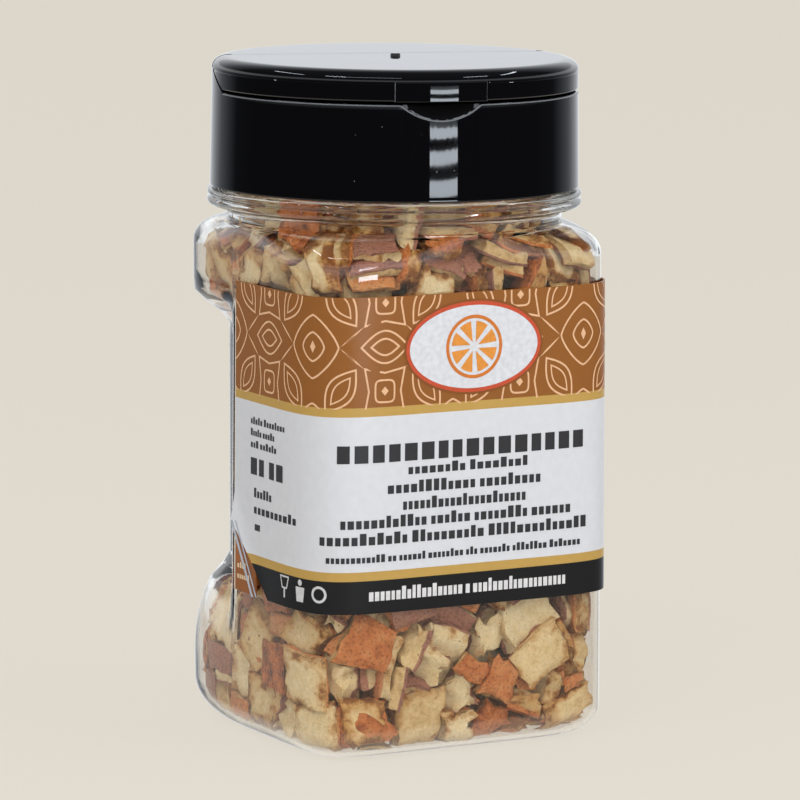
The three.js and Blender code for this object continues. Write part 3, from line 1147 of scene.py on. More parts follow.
class Wrap:
    """Bends flat print, laid out along and up the label, on to the jar's wall."""

    def __init__(self, section: JarSection, gap: float, thickness: float, samples: int = 900) -> None:
        """Measure the way round the wall from the front's middle, in both directions.

        Args:
            section: The jar's cross-section.
            gap: Distance of the film's back from the wall in millimetres.
            thickness: Thickness of the film in millimetres.
            samples: Steps round the wall.
        """
        self.section = section
        self.out = gap + thickness
        middle = 54.0
        self.angles = [-math.pi / 2 + math.pi * step / samples for step in range(samples + 1)]
        points = [section.point(a, middle, -self.out) for a in self.angles]
        self.lengths = [0.0]
        for last, point in zip(points, points[1:]):
            self.lengths.append(self.lengths[-1] + (point - last).length)

    def angle(self, along: float) -> float:
        """The direction of a point that far along the label from the front's middle."""
        place = min(max(bisect(self.lengths, abs(along)), 1), len(self.lengths) - 1)
        low, high = self.lengths[place - 1], self.lengths[place]
        turn = mix(self.angles[place - 1], self.angles[place], (abs(along) - low) / (high - low))
        return turn if along > 0 else -math.pi - turn

    def along(self, side_y: float) -> float:
        """How far along the label its right side reaches that Y."""
        height = 54.0
        for angle, length in zip(self.angles, self.lengths):
            point = self.section.point(angle, height, -self.out)
            if point.y >= side_y and angle > -math.pi / 4:
                return length
        return self.lengths[-1]

    def bend(self, piece: bpy.types.Object, lift: Callable[[float, float], float]) -> None:
        """Move each flat point on to the film's face, lifted off it in millimetres."""
        for vertex in piece.data.vertices:
            along, up = vertex.co.x / MM, vertex.co.y / MM
            out = self.out + lift(along, up)
            vertex.co = self.section.point(self.angle(along), up, -out) * MM


def ellipse(centre: tuple[float, float], half: tuple[float, float], power: float = 2.0,
            points: int = 48, turn: float = 0.0) -> Outline:
    """Points on an ellipse, or a rounder or more pinched form of one.

    Args:
        centre: Its middle, along and up, in millimetres.
        half: Half of its width and height in millimetres.
        power: 2 for an ellipse, towards 1 for a diamond, and more for a rounded box.
        points: How many points.
        turn: Degrees turned to the left.

    Returns:
        The outline.
    """
    made = []
    spin = math.radians(turn)
    for step in range(points):
        angle = step / points * math.tau
        c, s = math.cos(angle), math.sin(angle)
        x = math.copysign(abs(c) ** (2 / power), c) * half[0]
        y = math.copysign(abs(s) ** (2 / power), s) * half[1]
        made.append((centre[0] + x * math.cos(spin) - y * math.sin(spin),
                     centre[1] + x * math.sin(spin) + y * math.cos(spin)))
    return made


def petal(centre: tuple[float, float], length: float, width: float, turn: float,
          points: int = 12) -> Outline:
    """A leaf-shaped outline between two pointed tips, in millimetres and degrees."""
    spin = math.radians(turn)
    sides = []
    for sign in (1, -1):
        for step in range(points):
            share = step / points
            x = (share - 0.5) * length * sign
            y = math.sin(math.pi * share) * width / 2 * sign
            sides.append((centre[0] + x * math.cos(spin) - y * math.sin(spin),
                          centre[1] + x * math.sin(spin) + y * math.cos(spin)))
    return sides


def flat_shape(name: str, outline: Outline, line: float | None = None) -> bpy.types.Object:
    """Fill an outline flat, or keep only a line along its inside.

    Args:
        name: The piece's name.
        outline: Points in millimetres.
        line: The line's width in millimetres, or None to fill it.

    Returns:
        The flat piece.
    """
    deselect()
    bpy.ops.mesh.primitive_circle_add(vertices=len(outline), radius=1.0, fill_type="NGON")
    piece = bpy.context.object
    piece.name = name
    for vertex in piece.data.vertices:
        step = round(math.atan2(vertex.co.y, vertex.co.x) / math.tau * len(outline)) % len(outline)
        vertex.co = Vector((*outline[step], 0.0)) * MM
    if line is not None:
        edit(piece, "FACE")
        bpy.ops.mesh.select_all(action="SELECT")
        bpy.ops.mesh.inset(thickness=line * MM, use_even_offset=True)
        bpy.ops.mesh.delete(type="FACE")
        close_edit()
    return piece


def ringed_shape(name: str, outline_at: Callable[[float], Outline], rings: int) -> bpy.types.Object:
    """Fill an outline with rings of faces, so that it can follow a curved wall.

    Args:
        name: The piece's name.
        outline_at: Gives the outline shrunk to a share of its size.
        rings: How many rings of faces.

    Returns:
        The flat piece.
    """
    sides = len(outline_at(1.0))
    deselect()
    bpy.ops.mesh.primitive_circle_add(vertices=sides, radius=1.0, fill_type="TRIFAN")
    piece = bpy.context.object
    piece.name = name
    edit(piece, "FACE")
    bpy.ops.mesh.select_all(action="SELECT")
    for _ in range(1, rings):
        bpy.ops.mesh.inset(thickness=1 / rings)
    close_edit()
    for vertex in piece.data.vertices:
        reach = math.hypot(vertex.co.x, vertex.co.y) / math.cos(math.pi / sides)
        share = min(round(reach * rings) / rings, 1.0)
        step = round(math.atan2(vertex.co.y, vertex.co.x) / math.tau * sides) % sides
        vertex.co = Vector((*outline_at(share)[step], 0.0)) * MM
    return piece


def copy_at(piece: bpy.types.Object, along: float, up: float) -> bpy.types.Object:
    """Copy a flat piece with a mesh of its own, moved in millimetres."""
    twin = piece.copy()
    twin.data = piece.data.copy()
    twin.data.transform(Matrix.Translation(Vector((along, up, 0.0)) * MM))
    bpy.context.scene.collection.objects.link(twin)
    return twin


def joined(name: str, pieces: Sequence[bpy.types.Object]) -> bpy.types.Object:
    """Join pieces into one."""
    pick(*pieces)
    bpy.ops.object.join()
    pieces[0].name = name
    return pieces[0]


def trim(piece: bpy.types.Object, point: tuple[float, float], normal: tuple[float, float]) -> None:
    """Cut a flat piece along a line and drop what lies on the side that the normal points to."""
    edit(piece)
    bpy.ops.mesh.select_all(action="SELECT")
    bpy.ops.mesh.bisect(
        plane_co=Vector((*point, 0.0)) * MM, plane_no=(*normal, 0.0), clear_outer=True, clear_inner=False
    )
    close_edit()


@dataclass
class WrapLabel:
    """The label that wraps the front and both sides, with its print as thin layers of ink."""

    section: JarSection
    gap: float = 0.3
    thickness: float = 0.28
    bottom: float = 26.5
    top: float = 81.9
    end_y: float = 1.4
    cut_run: float = 7.9
    cut_top: float = 39.1
    black_top: float = 32.2
    low_gold_top: float = 33.7
    white_top: float = 60.9
    high_gold_top: float = 62.4
    ink: float = 0.035
    line: float = 0.34
    repeat: tuple[float, float] = (26.8, 15.4)
    eye: tuple[float, float] = (21.9, 73.2)
    badge: tuple[float, float] = (-0.8, 72.3)
    badge_half: tuple[float, float] = (13.45, 8.0)

    def __post_init__(self) -> None:
        """Measure the label's half length and start the ink's own random order."""
        self.wrap = Wrap(self.section, self.gap, self.thickness)
        self.half = self.wrap.along(self.end_y)
        self.random = random.Random(11)

    def cut_lift(self, along: float, up: float) -> float:
        """How far the film curls off the wall along its slanting cut and at its top right corner."""
        rise = self.cut_top - self.bottom
        inside = ((along + self.half) / self.cut_run + (up - self.bottom) / rise - 1)
        across = inside * self.cut_run * rise / math.hypot(self.cut_run, rise)
        curl = 0.9 * max(1 - max(across, 0.0) / 4.5, 0.0) ** 2
        corner = smooth_step(along, self.half - 9, self.half) * smooth_step(up, self.top - 14, self.top)
        return curl + 0.55 * corner

    def sheet(self, name: str, columns: int, rows: int, low: tuple[float, float],
              high: tuple[float, float]) -> bpy.types.Object:
        """A flat grid between two corners in millimetres."""
        deselect()
        bpy.ops.mesh.primitive_grid_add(x_subdivisions=columns, y_subdivisions=rows, size=2.0)
        piece = bpy.context.object
        piece.name = name
        for vertex in piece.data.vertices:
            along = mix(low[0], high[0], (vertex.co.x + 1) / 2)
            up = mix(low[1], high[1], (vertex.co.y + 1) / 2)
            vertex.co = Vector((along, up, 0.0)) * MM
        return piece

    def cut_line(self) -> tuple[tuple[float, float], tuple[float, float]]:
        """A point on the slanting cut and the direction, across it, of the corner that it takes off."""
        rise = self.cut_top - self.bottom
        return (-self.half, self.cut_top), (-rise, -self.cut_run)

    def film(self) -> bpy.types.Object:
        """The film itself, with its slanting lower left corner and its bands of colour."""
        film = self.sheet("wrap_label", 190, 34, (-self.half, self.bottom), (self.half, self.top))
        trim(film, *self.cut_line())
        self.wrap.bend(film, self.cut_lift)
        self.thicken(film)
        PrintedFilm(
            "printed polypropylene film",
            bands=((0.0, "#121214"), (self.black_top, "#AE8D4A"), (self.low_gold_top, "#C4C6CC"),
                   (self.white_top, "#AE8D4A"), (self.high_gold_top, "#84511F")),
            top=self.top,
        ).put_on(film)
        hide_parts("label")
        return film

    def thicken(self, film: bpy.types.Object) -> None:
        """Give a bent film its thickness, inwards from its printed face."""
        self.face_out(film)
        bake_modifier(film, "SOLIDIFY", thickness=self.thickness * MM, offset=-1.0)
        smooth(film, 60.0)

    def face_out(self, piece: bpy.types.Object) -> None:
        """Turn an open piece's faces away from the jar's axis."""
        edit(piece)
        bpy.ops.mesh.select_all(action="SELECT")
        bpy.ops.mesh.normals_make_consistent(inside=False)
        close_edit()
        facing = sum(f.normal.dot(Vector((f.center.x, f.center.y, 0.0))) for f in piece.data.polygons)
        if facing < 0:
            edit(piece)
            bpy.ops.mesh.select_all(action="SELECT")
            bpy.ops.mesh.flip_normals()
            close_edit()

    def tail(self) -> bpy.types.Object:
        """The brown end of the wrap that shows below the slanting cut."""
        end = -self.half + self.cut_run
        tail = self.sheet("label_tail", 18, 18, (-self.half, self.bottom), (end, self.cut_top))
        point, normal = self.cut_line()
        trim(tail, (point[0] + 0.5, point[1]), (-normal[0], -normal[1]))
        self.wrap.bend(tail, lambda along, up: -0.05)
        self.thicken(tail)
        browns = ((0.0, "#8A5224"), (31.5, "#94592A"))
        PrintedFilm("brown label film", bands=browns, top=self.top).put_on(tail)
        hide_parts("label_end")
        return tail

    def printed(self, piece: bpy.types.Object, colour: str, layers: float = 1.0) -> bpy.types.Object:
        """Bend a flat shape on to the film, some layers of ink thick, and give it its colour."""
        self.wrap.bend(piece, lambda along, up: self.cut_lift(along, up) + self.ink * layers)
        self.face_out(piece)
        Ink("printing ink " + colour[1:], colour).put_on(piece)
        return piece

    def lattice(self) -> bpy.types.Object:
        """The cream line pattern: eyes, petals and small tiles in a staggered repeat."""
        wide, tall = self.repeat
        line = self.line
        eye = [
            flat_shape("eye", ellipse((0, 0), (5.1, 5.7), 1.35, 40), line),
            flat_shape("eye_ring", ellipse((0, 0), (2.5, 2.7), 1.5, 28), line),
            flat_shape("eye_dot", ellipse((0, 0), (0.6, 1.1), 1.0, 4)),
        ]
        between = [
            flat_shape("side_petal_outer", petal((wide / 2, 0), 9.4, 6.0, 0, 16), line),
            flat_shape("side_petal", petal((wide / 2, 0), 5.8, 3.2, 0), line),
        ]
        for up in (-1, 1):
            middle = (wide / 2, tall / 2 * up)
            between.append(flat_shape("tile_ring", ellipse(middle, (2.0, 2.1), 4.0, 32), line))
            between.append(flat_shape("tile_dot", ellipse(middle, (0.7, 0.8), 1.0, 4)))
            between.append(flat_shape("tile_frame", self.star(middle, (4.0, 4.2), 0.8), line))
            for across in (-1, 1):
                lean = 54.0 * across * up
                leaf = petal((5.3 * across, 7.5 * up), 9.6, 5.0, -lean, 16)
                between.append(flat_shape("leaf", leaf, line))
                inner = petal((5.3 * across, 7.5 * up), 6.2, 2.6, -lean, 12)
                between.append(flat_shape("leaf_inner", inner, line * 0.8))
                stroke = petal((7.3 * across, 1.9 * up), 5.6, line, 40.0 * across * up)
                between.append(flat_shape("stroke", stroke))
        eye_only = joined("eye", eye)
        motif = joined("label_lattice", [copy_at(eye_only, 0.0, 0.0), *between])
        copies = [motif]
        first = math.ceil((-self.half - self.eye[0]) / wide) - 1
        last = math.floor((self.half - self.eye[0]) / wide) + 1
        for column in range(first, last + 1):
            along = self.eye[0] + column * wide
            copies.extend(copy_at(eye_only, along, self.eye[1] + row * tall) for row in (-1, 1))
            if column:
                copies.append(copy_at(motif, along, self.eye[1]))
        motif.data.transform(Matrix.Translation(Vector((*self.eye, 0.0)) * MM))
        bpy.data.objects.remove(eye_only)
        lattice = joined("label_lattice", copies)
        margin = 0.15
        trim(lattice, (0, self.top - 0.1), (0, 1))
        trim(lattice, (0, self.high_gold_top + 0.05), (0, -1))
        trim(lattice, (self.half - margin, 0), (1, 0))
        trim(lattice, (-self.half + margin, 0), (-1, 0))
        return self.printed(lattice, "#D3A883")

    def star(self, centre: tuple[float, float], half: tuple[float, float], dent: float) -> Outline:
        """A square whose corners stick out and whose sides are drawn in by dent."""
        made = []
        for step in range(8):
            corner = step % 2 == 0
            angle = math.tau * step / 8 + math.pi / 4
            reach = math.sqrt(2) if corner else dent
            made.append((centre[0] + half[0] * reach * math.cos(angle),
                         centre[1] + half[1] * reach * math.sin(angle)))
        return made

    def wedge(self, middle: tuple[float, float], turn: float, spread: float, near: float,
              far: float) -> Outline:
        """A slice of a wheel between two radii, in degrees and millimetres."""
        made = []
        for step in range(9):
            angle = math.radians(turn + spread * (step / 8 - 0.5))
            made.append((middle[0] + far * math.cos(angle), middle[1] + far * math.sin(angle)))
        tip = math.radians(turn)
        made.append((middle[0] + near * math.cos(tip), middle[1] + near * math.sin(tip)))
        return made

    def emblem(self) -> list[bpy.types.Object]:
        """The oval badge, with a plain citrus wheel in it."""
        x, z = self.badge
        wide, tall = self.badge_half

        def oval(grow: float) -> Callable[[float], Outline]:
            return lambda share: ellipse((x, z), ((wide + grow) * share, (tall + grow) * share), 2.0, 72)

        layers = [
            (ringed_shape("badge_shadow", oval(0.4), 7), "#7C4719", 2.0),
            (ringed_shape("badge_ring", oval(0.0), 7), "#B5472A", 3.0),
            (ringed_shape("badge_field", oval(-0.7), 7), "#C6C8CF", 4.0),
            (flat_shape("wheel_rind", ellipse((x, z), (5.6, 5.6), 2.0, 48), 0.6), "#BE6A22", 5.0),
        ]
        segments = []
        count = 8
        for step in range(count):
            turn = 360 * (step + 0.5) / count
            segments.append(flat_shape("wheel_segment", self.wedge((x, z), turn, 36.0, 0.8, 4.5)))
        layers.append((joined("wheel_segments", segments), "#CC8434", 5.0))
        return [self.printed(piece, colour, lift) for piece, colour, lift in layers]

    def text_row(self, start: float, up: float, length: float, height: float,
                 words: Sequence[int], capitals: bool = False) -> bpy.types.Object:
        """A row of small blocks that stands for a line of words, none of them a letter.

        Args:
            start: Left end in millimetres along the label.
            up: The row's foot in millimetres.
            length: The row's length in millimetres.
            height: Height of a tall block in millimetres.
            words: How many blocks each word has.
            capitals: Whether every block is tall.

        Returns:
            The flat row.
        """
        widths = []
        for number, count in enumerate(words):
            for place in range(count):
                last = place == count - 1
                gap = (0.0 if number == len(words) - 1 else 0.75) if last else 0.3
                widths.append((self.random.choice((0.7, 0.8, 0.9)), gap))
        scale = length / sum(block + gap for block, gap in widths)
        deselect()
        columns = 2 * len(widths) - 1
        bpy.ops.mesh.primitive_grid_add(x_subdivisions=columns, y_subdivisions=1, size=2.0)
        row = bpy.context.object
        edges, tops = [], []
        along = start
        for block, gap in widths:
            edges.extend((along, along + block * scale))
            tops.extend([1.0 if capitals else self.random.choice((0.7, 0.7, 0.7, 1.0))] * 2)
            along += (block + gap) * scale
        for vertex in row.data.vertices:
            column = round((vertex.co.x + 1) / 2 * columns)
            rise = height * tops[column] if vertex.co.y > 0 else 0.0
            vertex.co = Vector((edges[column], up + rise, 0.0)) * MM
        starts = [edge * MM for edge in edges[::2]]

        def between_blocks(face: bpy.types.MeshPolygon) -> bool:
            low = min(row.data.vertices[corner].co.x for corner in face.vertices)
            return all(abs(low - begin) > 0.001 * MM for begin in starts)

        edit_where(row, "FACE", between_blocks)
        bpy.ops.mesh.delete(type="FACE")
        bpy.ops.mesh.select_all(action="SELECT")
        bpy.ops.mesh.subdivide(number_cuts=2)
        close_edit()
        return row

    def words(self) -> list[bpy.types.Object]:
        """Rows of blocks where a label has its name, contents and small print."""
        left = -self.half
        dark = [
            self.text_row(-26.9, 53.0, 48.9, 3.1, (16,), True),
            self.text_row(-13.6, 50.6, 23.9, 1.8, (8, 8)),
            self.text_row(-17.6, 47.4, 30.6, 2.1, (12, 9)),
            self.text_row(-14.6, 44.4, 24.6, 2.1, (21,)),
            self.text_row(-26.2, 41.5, 45.5, 2.1, (12, 6, 8, 6)),
            self.text_row(-29.9, 38.6, 52.7, 2.1, (11, 10, 14)),
            self.text_row(-28.7, 35.5, 50.2, 1.4, (12, 2, 6, 8, 3, 7, 8, 7)),
        ]
        side = [
            self.text_row(left + 6.0, 57.2, 12.4, 1.3, (5, 8)),
            self.text_row(left + 6.0, 55.1, 8.8, 1.3, (5, 5)),
            self.text_row(left + 6.0, 53.0, 9.5, 1.3, (3, 6)),
            self.text_row(left + 6.0, 48.2, 11.9, 3.0, (2, 2), True),
            self.text_row(left + 7.3, 44.2, 6.5, 1.7, (6,)),
            self.text_row(left + 7.3, 41.3, 15.0, 1.7, (10,)),
            self.text_row(left + 7.6, 38.3, 2.0, 1.6, (1,)),
        ]
        pale = [self.text_row(-21.0, 28.7, 39.4, 2.3, (18, 1, 19))]
        return [
            self.printed(joined("label_words", dark + side), "#2B2B2E"),
            self.printed(joined("label_band_words", pale), "#C9C9CC"),
        ]

    def marks(self) -> bpy.types.Object:
        """Three small plain marks on the black band: a cup, a bin and a ring."""
        low = self.bottom + 1.6
        left = -self.half
        cup = flat_shape("cup", [(left + 17.2, low + 3.9), (left + 17.9, low + 1.6), (left + 19.6, low + 1.6),
                                 (left + 20.3, low + 3.9)], 0.3)
        stem = flat_shape("stem", [(left + 18.5, low), (left + 19.0, low), (left + 19.0, low + 1.6),
                                   (left + 18.5, low + 1.6)])
        bin_body = flat_shape("bin", [(left + 22.4, low + 2.6), (left + 22.7, low), (left + 24.5, low),
                                      (left + 24.8, low + 2.6)])
        head = flat_shape("bin_top", ellipse((left + 23.6, low + 3.4), (0.55, 0.55), 2.0, 16))
        ring = flat_shape("ring", ellipse((left + 28.0, low + 1.8), (1.5, 1.5), 2.0, 24), 0.45)
        return self.printed(joined("label_marks", [cup, stem, bin_body, head, ring]), "#BDBDC0")

    def cut_edge_highlights(self) -> bpy.types.Object:
        """Two silvery stripes along the slanting cut: a painted highlight where the film's lifted edge
        catches the light.
        """
        rise = self.cut_top - self.bottom
        stripes = []
        for start, end in ((0.0, 0.5), (1.05, 1.4)):
            sheet = self.sheet("cut_edge_highlight", 2, 24, (start, 0.0), (end, 1.0))
            for vertex in sheet.data.vertices:
                share = vertex.co.y / MM
                along = -self.half + vertex.co.x / MM + self.cut_run * (1 - share)
                vertex.co = Vector((along, self.bottom + rise * share, 0.0)) * MM
            stripes.append(sheet)
        # The printing-ink finish carries a painted highlight here.
        return self.printed(joined("label_cut_stripes", stripes), "#9AA1AD")

    def tail_words(self) -> bpy.types.Object:
        """Two short rows of pale blocks on the brown end."""
        rows = [self.text_row(-self.half + 0.9, 30.6, 3.2, 1.1, (4,)),
                self.text_row(-self.half + 0.9, 28.7, 4.6, 1.1, (6,))]
        piece = joined("label_tail_words", rows)
        self.wrap.bend(piece, lambda along, up: -0.05 + self.ink)
        self.face_out(piece)
        Ink("printing ink D9BE9C", "#D9BE9C").put_on(piece)
        return piece

    def build(self) -> list[bpy.types.Object]:
        """Build and dress the label, its end and its print.

        Returns:
            The pieces, riding on the jar's body.
        """
        made = [self.film(), self.tail(), self.lattice(), *self.emblem(), *self.words(), self.marks(),
                self.cut_edge_highlights(), self.tail_words()]
        for piece in made:
            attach(piece, Body.JAR.value)
        return made


# ---- Cap ------------------------------------------------------------------------------------------


@dataclass
class FlipTopCap:
    """The screw cap and its hinged flap, drawn with the thumb notch at -Y and then screwed round."""

    turn_degrees: float = -14.5
    bottom: float = 97.8
    deck: float = 114.9
    top: float = 120.7
    bottom_radius: float = 33.0
    deck_radius: float = 32.7
    edge_run: float = 2.9
    edge_rise: float = 1.9
    bore_radius: float = 31.2
    deck_thickness: float = 1.4
    gap: float = 0.4
    lip: float = 0.35
    hinge_y: float = 8.0
    slope_foot: float = -4.0
    top_thickness: float = 1.4
    skirt_thickness: float = 1.5
    tab_width: float = 16.5
    tab_height: float = 3.9
    tab_proud: float = 0.35
    notch_half: float = 9.3
    notch_depth: float = 2.7
    notch_stand_off: float = 20.0
    notch_merge: float = 0.15
    notch_edge: float = 0.3
    spout_radius: float = 25.5
    spout_back: float = -8.5
    seal_gap: float = 1.6
    seal_thickness: float = 1.0
    seal_lift: float = 0.5
    web_dip: float = 0.015
    web_lift: float = 0.01
    web_thickness: float = 0.35
    gate_radius: float = 0.95
    gate_height: float = 0.5
    soft_below: float = 24.0
    far: float = 60.0

    def top_edge(self) -> list[tuple[float, float]]:
        """The rounded top edge, over a fine step, from its foot up to the flat top."""
        foot = self.top - self.edge_rise
        inner = self.deck_radius - self.edge_run
        step = [(self.deck_radius, foot - 0.9), (self.deck_radius, foot - 0.5),
                (self.deck_radius - 0.12, foot - 0.38), (self.deck_radius - 0.12, foot - 0.22),
                (self.deck_radius, foot - 0.1)]
        edge = [(inner + self.edge_run * x, foot + self.edge_rise * z)
                for x, z in arc((0.0, 0.0), 1.0, 0.0, 90.0, 14)]
        return [*step, *edge, (inner - 1.0, self.top), (0.6 * self.deck_radius, self.top)]

    def wall_at(self, z: float) -> tuple[float, float]:
        """Radius and height of the skirt's slightly tapering wall."""
        share = (z - self.bottom) / (self.deck - self.bottom)
        return (mix(self.bottom_radius, self.deck_radius, share), z)

    def zone(self, name: str, shift: float) -> bpy.types.Object:
        """Everything in front of the sloping joint and above the deck, with both faces moved by shift."""
        run = self.hinge_y - self.slope_foot
        rise = self.top - self.deck
        high = 1 + 5 / rise
        low_z = self.deck + shift
        foot = self.slope_foot - shift
        outline = [(-self.far, low_z), (foot, low_z), (foot + run * high, low_z + rise * high),
                   (-self.far, low_z + rise * high)]
        return bar_along_x(name, outline, self.far)

    def half_moon(self, inset: float, low: float, high: float) -> bpy.types.Object:
        """The half-moon of the pouring opening as a solid, drawn in by inset."""
        radius = self.spout_radius - inset
        moon = turned("half_moon", [(radius, low), (radius, high)], 128)
        back = self.spout_back - inset
        front = [(-self.far, low - 1), (back, low - 1), (back, high + 1), (-self.far, high + 1)]
        combine(moon, bar_along_x("front", front, self.far), "INTERSECT")
        return moon

    def notch_ball(self) -> tuple[Vector, float]:
        """Middle and radius of the ball that scoops out the thumb notch."""
        scoop = (self.notch_half**2 + self.notch_depth**2) / (2 * self.notch_depth)
        z = self.deck - self.notch_depth + scoop
        middle = Vector((0.0, -self.deck_radius - self.notch_stand_off, z))
        return middle, math.hypot(scoop, self.notch_stand_off)

    def off_notch(self, point: Vector) -> float:
        """How far outside the notch's ball a point lies."""
        middle, radius = self.notch_ball()
        return (point - middle).length - radius

    def notch(self) -> bpy.types.Object:
        """The ball that scoops out the thumb notch."""
        middle, radius = self.notch_ball()
        deselect()
        bpy.ops.mesh.primitive_uv_sphere_add(
            segments=160, ring_count=96, radius=radius * MM, location=middle * MM
        )
        bpy.ops.object.transform_apply(location=True, rotation=True, scale=True)
        return bpy.context.object

    def on_slope(self, shift: float) -> Callable[[Vector], bool]:
        """A test for points on the sloping joint's face, moved by shift."""
        run, rise = self.hinge_y - self.slope_foot, self.top - self.deck

        def test(point: Vector) -> bool:
            along = (point.y - self.slope_foot + shift) / run - (point.z - self.deck - shift) / rise
            return abs(along) < 0.004 and point.z > self.deck + shift + 0.05

        return test

    def crown(self) -> bpy.types.Object:
        """The fixed rear part of the cap's top, up to the sloping joint."""
        low = self.deck - 1.0
        crown = turned("crown", [(self.deck_radius, low), *self.top_edge()])
        combine(crown, self.zone("front", 0.0), "DIFFERENCE")
        foot, far = self.slope_foot, self.far
        rear = [(foot, low - 1), (far, low - 1), (far, self.top + 1), (foot, self.top + 1)]
        combine(crown, bar_along_x("rear", rear, far), "INTERSECT")
        bevel_where(crown, self.on_slope(0.0), 0.12)
        return crown

    def base(self) -> bpy.types.Object:
        """The fixed part: the screw skirt, the deck and the crown behind the flap."""
        lip, deck = self.lip, self.deck
        underside = deck - self.deck_thickness
        base = turned(
            "cap_base_shell",
            [
                (self.bore_radius, underside),
                (self.bore_radius, self.bottom),
                *arc((self.bottom_radius - lip, self.bottom + lip), lip, -90.0, 0.0, 4),
                self.wall_at(self.bottom + 1.0),
                self.wall_at(deck - 1.0),
                *arc((self.deck_radius - lip, deck - lip), lip, 0.0, 90.0, 5),
                (self.spout_radius + 1.5, deck),
            ],
        )
        combine(base, self.crown(), "UNION")
        combine(base, self.half_moon(0.0, underside - 1, deck + 1), "DIFFERENCE")
        combine(base, self.notch(), "DIFFERENCE")
        edit_where(base, "VERT", lambda vertex: abs(self.off_notch(vertex.co / MM)) < 0.03)
        bpy.ops.mesh.remove_doubles(threshold=self.notch_merge * MM)
        close_edit()
        bevel_where(base, self.on_notch_edge, self.notch_edge, 4, clamp=False)
        return base

    def on_notch_edge(self, point: Vector) -> bool:
        """Whether a point is where the thumb notch meets the skirt's wall."""
        return abs(self.off_notch(point)) < 0.03 and point.z < self.deck - self.lip

    def on_base_highlight(self, face: bpy.types.MeshPolygon) -> bool:
        """Whether a face of the base is on the rim or the notch's edge, where a painted highlight goes."""
        point = face.center / MM
        lip, small = self.lip, 0.3 * MM**2
        rim = self.deck - lip < point.z < self.deck - 0.4 * lip
        outer = point.xy.length > self.deck_radius - lip
        low = point.y < 0 and self.deck - self.notch_depth - 1 < point.z < self.deck - lip
        edge = low and 0.03 < self.off_notch(point) < self.notch_edge and face.area < small
        return (rim and outer) or edge

    def on_lid_highlight(self, face: bpy.types.MeshPolygon) -> bool:
        """Whether a face of the lid is on the two short sides of its tab, where a painted highlight goes."""
        point = face.center / MM
        proud = point.xy.length - self.deck_radius
        low, high = self.deck + self.gap + 0.2, self.deck + self.tab_height - 0.2
        return 0.03 < proud < self.tab_proud - 0.02 and low < point.z < high

    def tab(self) -> bpy.types.Object:
        """The thin pad in the middle of the flap's skirt, with softened edges."""
        low = self.deck + self.gap
        high = low + self.tab_height - self.gap
        proud = self.deck_radius + self.tab_proud
        pad = turned("pad", [(proud, low), (proud, high)])
        half = self.tab_width / 2
        front = -self.deck_radius - half
        outline = [(front, low - 1), (-self.deck_radius + 4, low - 1), (-self.deck_radius + 4, high + 1),
                   (front, high + 1)]
        combine(pad, bar_along_x("slab", outline, half), "INTERSECT")
        bevel_where(pad, lambda p: math.hypot(p.x, p.y) > proud - 0.01, 0.16)
        return pad

    def seal(self) -> bpy.types.Object:
        """The thin rim under the flap that closes the half-moon opening."""
        low = self.deck + self.seal_lift
        high = self.top - self.top_thickness + self.seal_lift
        rim = self.half_moon(-self.seal_gap - self.seal_thickness, low, high)
        combine(rim, self.half_moon(-self.seal_gap, low - 1, high - self.seal_lift), "DIFFERENCE")
        return rim

    def lid(self) -> bpy.types.Object:
        """The flap: a shallow dish with a rounded edge, cut off on the slope at the hinge."""
        low, lip = self.deck + self.gap, self.lip
        lid = turned(
            "cap_lid_shell",
            [
                *arc((self.deck_radius - lip, low + lip), lip, -90.0, 0.0, 4),
                *self.top_edge(),
            ],
        )
        combine(lid, self.zone("joint", self.gap), "INTERSECT")
        bevel_where(lid, self.on_slope(self.gap), 0.12)
        combine(lid, self.tab(), "UNION")
        hollow_top = self.top - self.top_thickness
        inner = self.deck_radius - self.skirt_thickness
        hollow = turned("hollow", [(inner, low - 1), (inner, hollow_top)])
        foot, far = self.slope_foot, self.far
        front = [(-far, low - 2), (foot, low - 2), (foot, hollow_top + 1), (-far, hollow_top + 1)]
        combine(hollow, bar_along_x("front", front, far), "INTERSECT")
        combine(lid, hollow, "DIFFERENCE")
        combine(lid, self.seal(), "UNION")
        nub_top = self.top + self.gate_height
        gate = turned(
            "gate",
            [(self.gate_radius, self.top - self.seal_lift), (self.gate_radius * 0.92, nub_top - 0.1),
             (self.gate_radius * 0.75, nub_top)],
            32,
        )
        combine(lid, gate, "UNION")
        return lid

    def hinge_web(self) -> bpy.types.Object:
        """The thin living hinge: a skin over the gap between the crown and the flap."""
        front, rear = self.hinge_y - 1.6, self.hinge_y + 0.35
        half = math.sqrt((self.deck_radius - self.edge_run) ** 2 - rear**2) - 0.4
        deselect()
        bpy.ops.mesh.primitive_grid_add(x_subdivisions=32, y_subdivisions=10, size=2.0)
        web = bpy.context.object
        web.name = "hinge_web"
        for vertex in web.data.vertices:
            u, v, _ = vertex.co
            dip = self.web_dip * (1 - v * v)
            y = mix(front, rear, (v + 1) / 2)
            vertex.co = Vector((u * half, y, self.top + self.web_lift - dip)) * MM
        bake_modifier(web, "SOLIDIFY", thickness=self.web_thickness * MM, offset=-1.0)
        return web

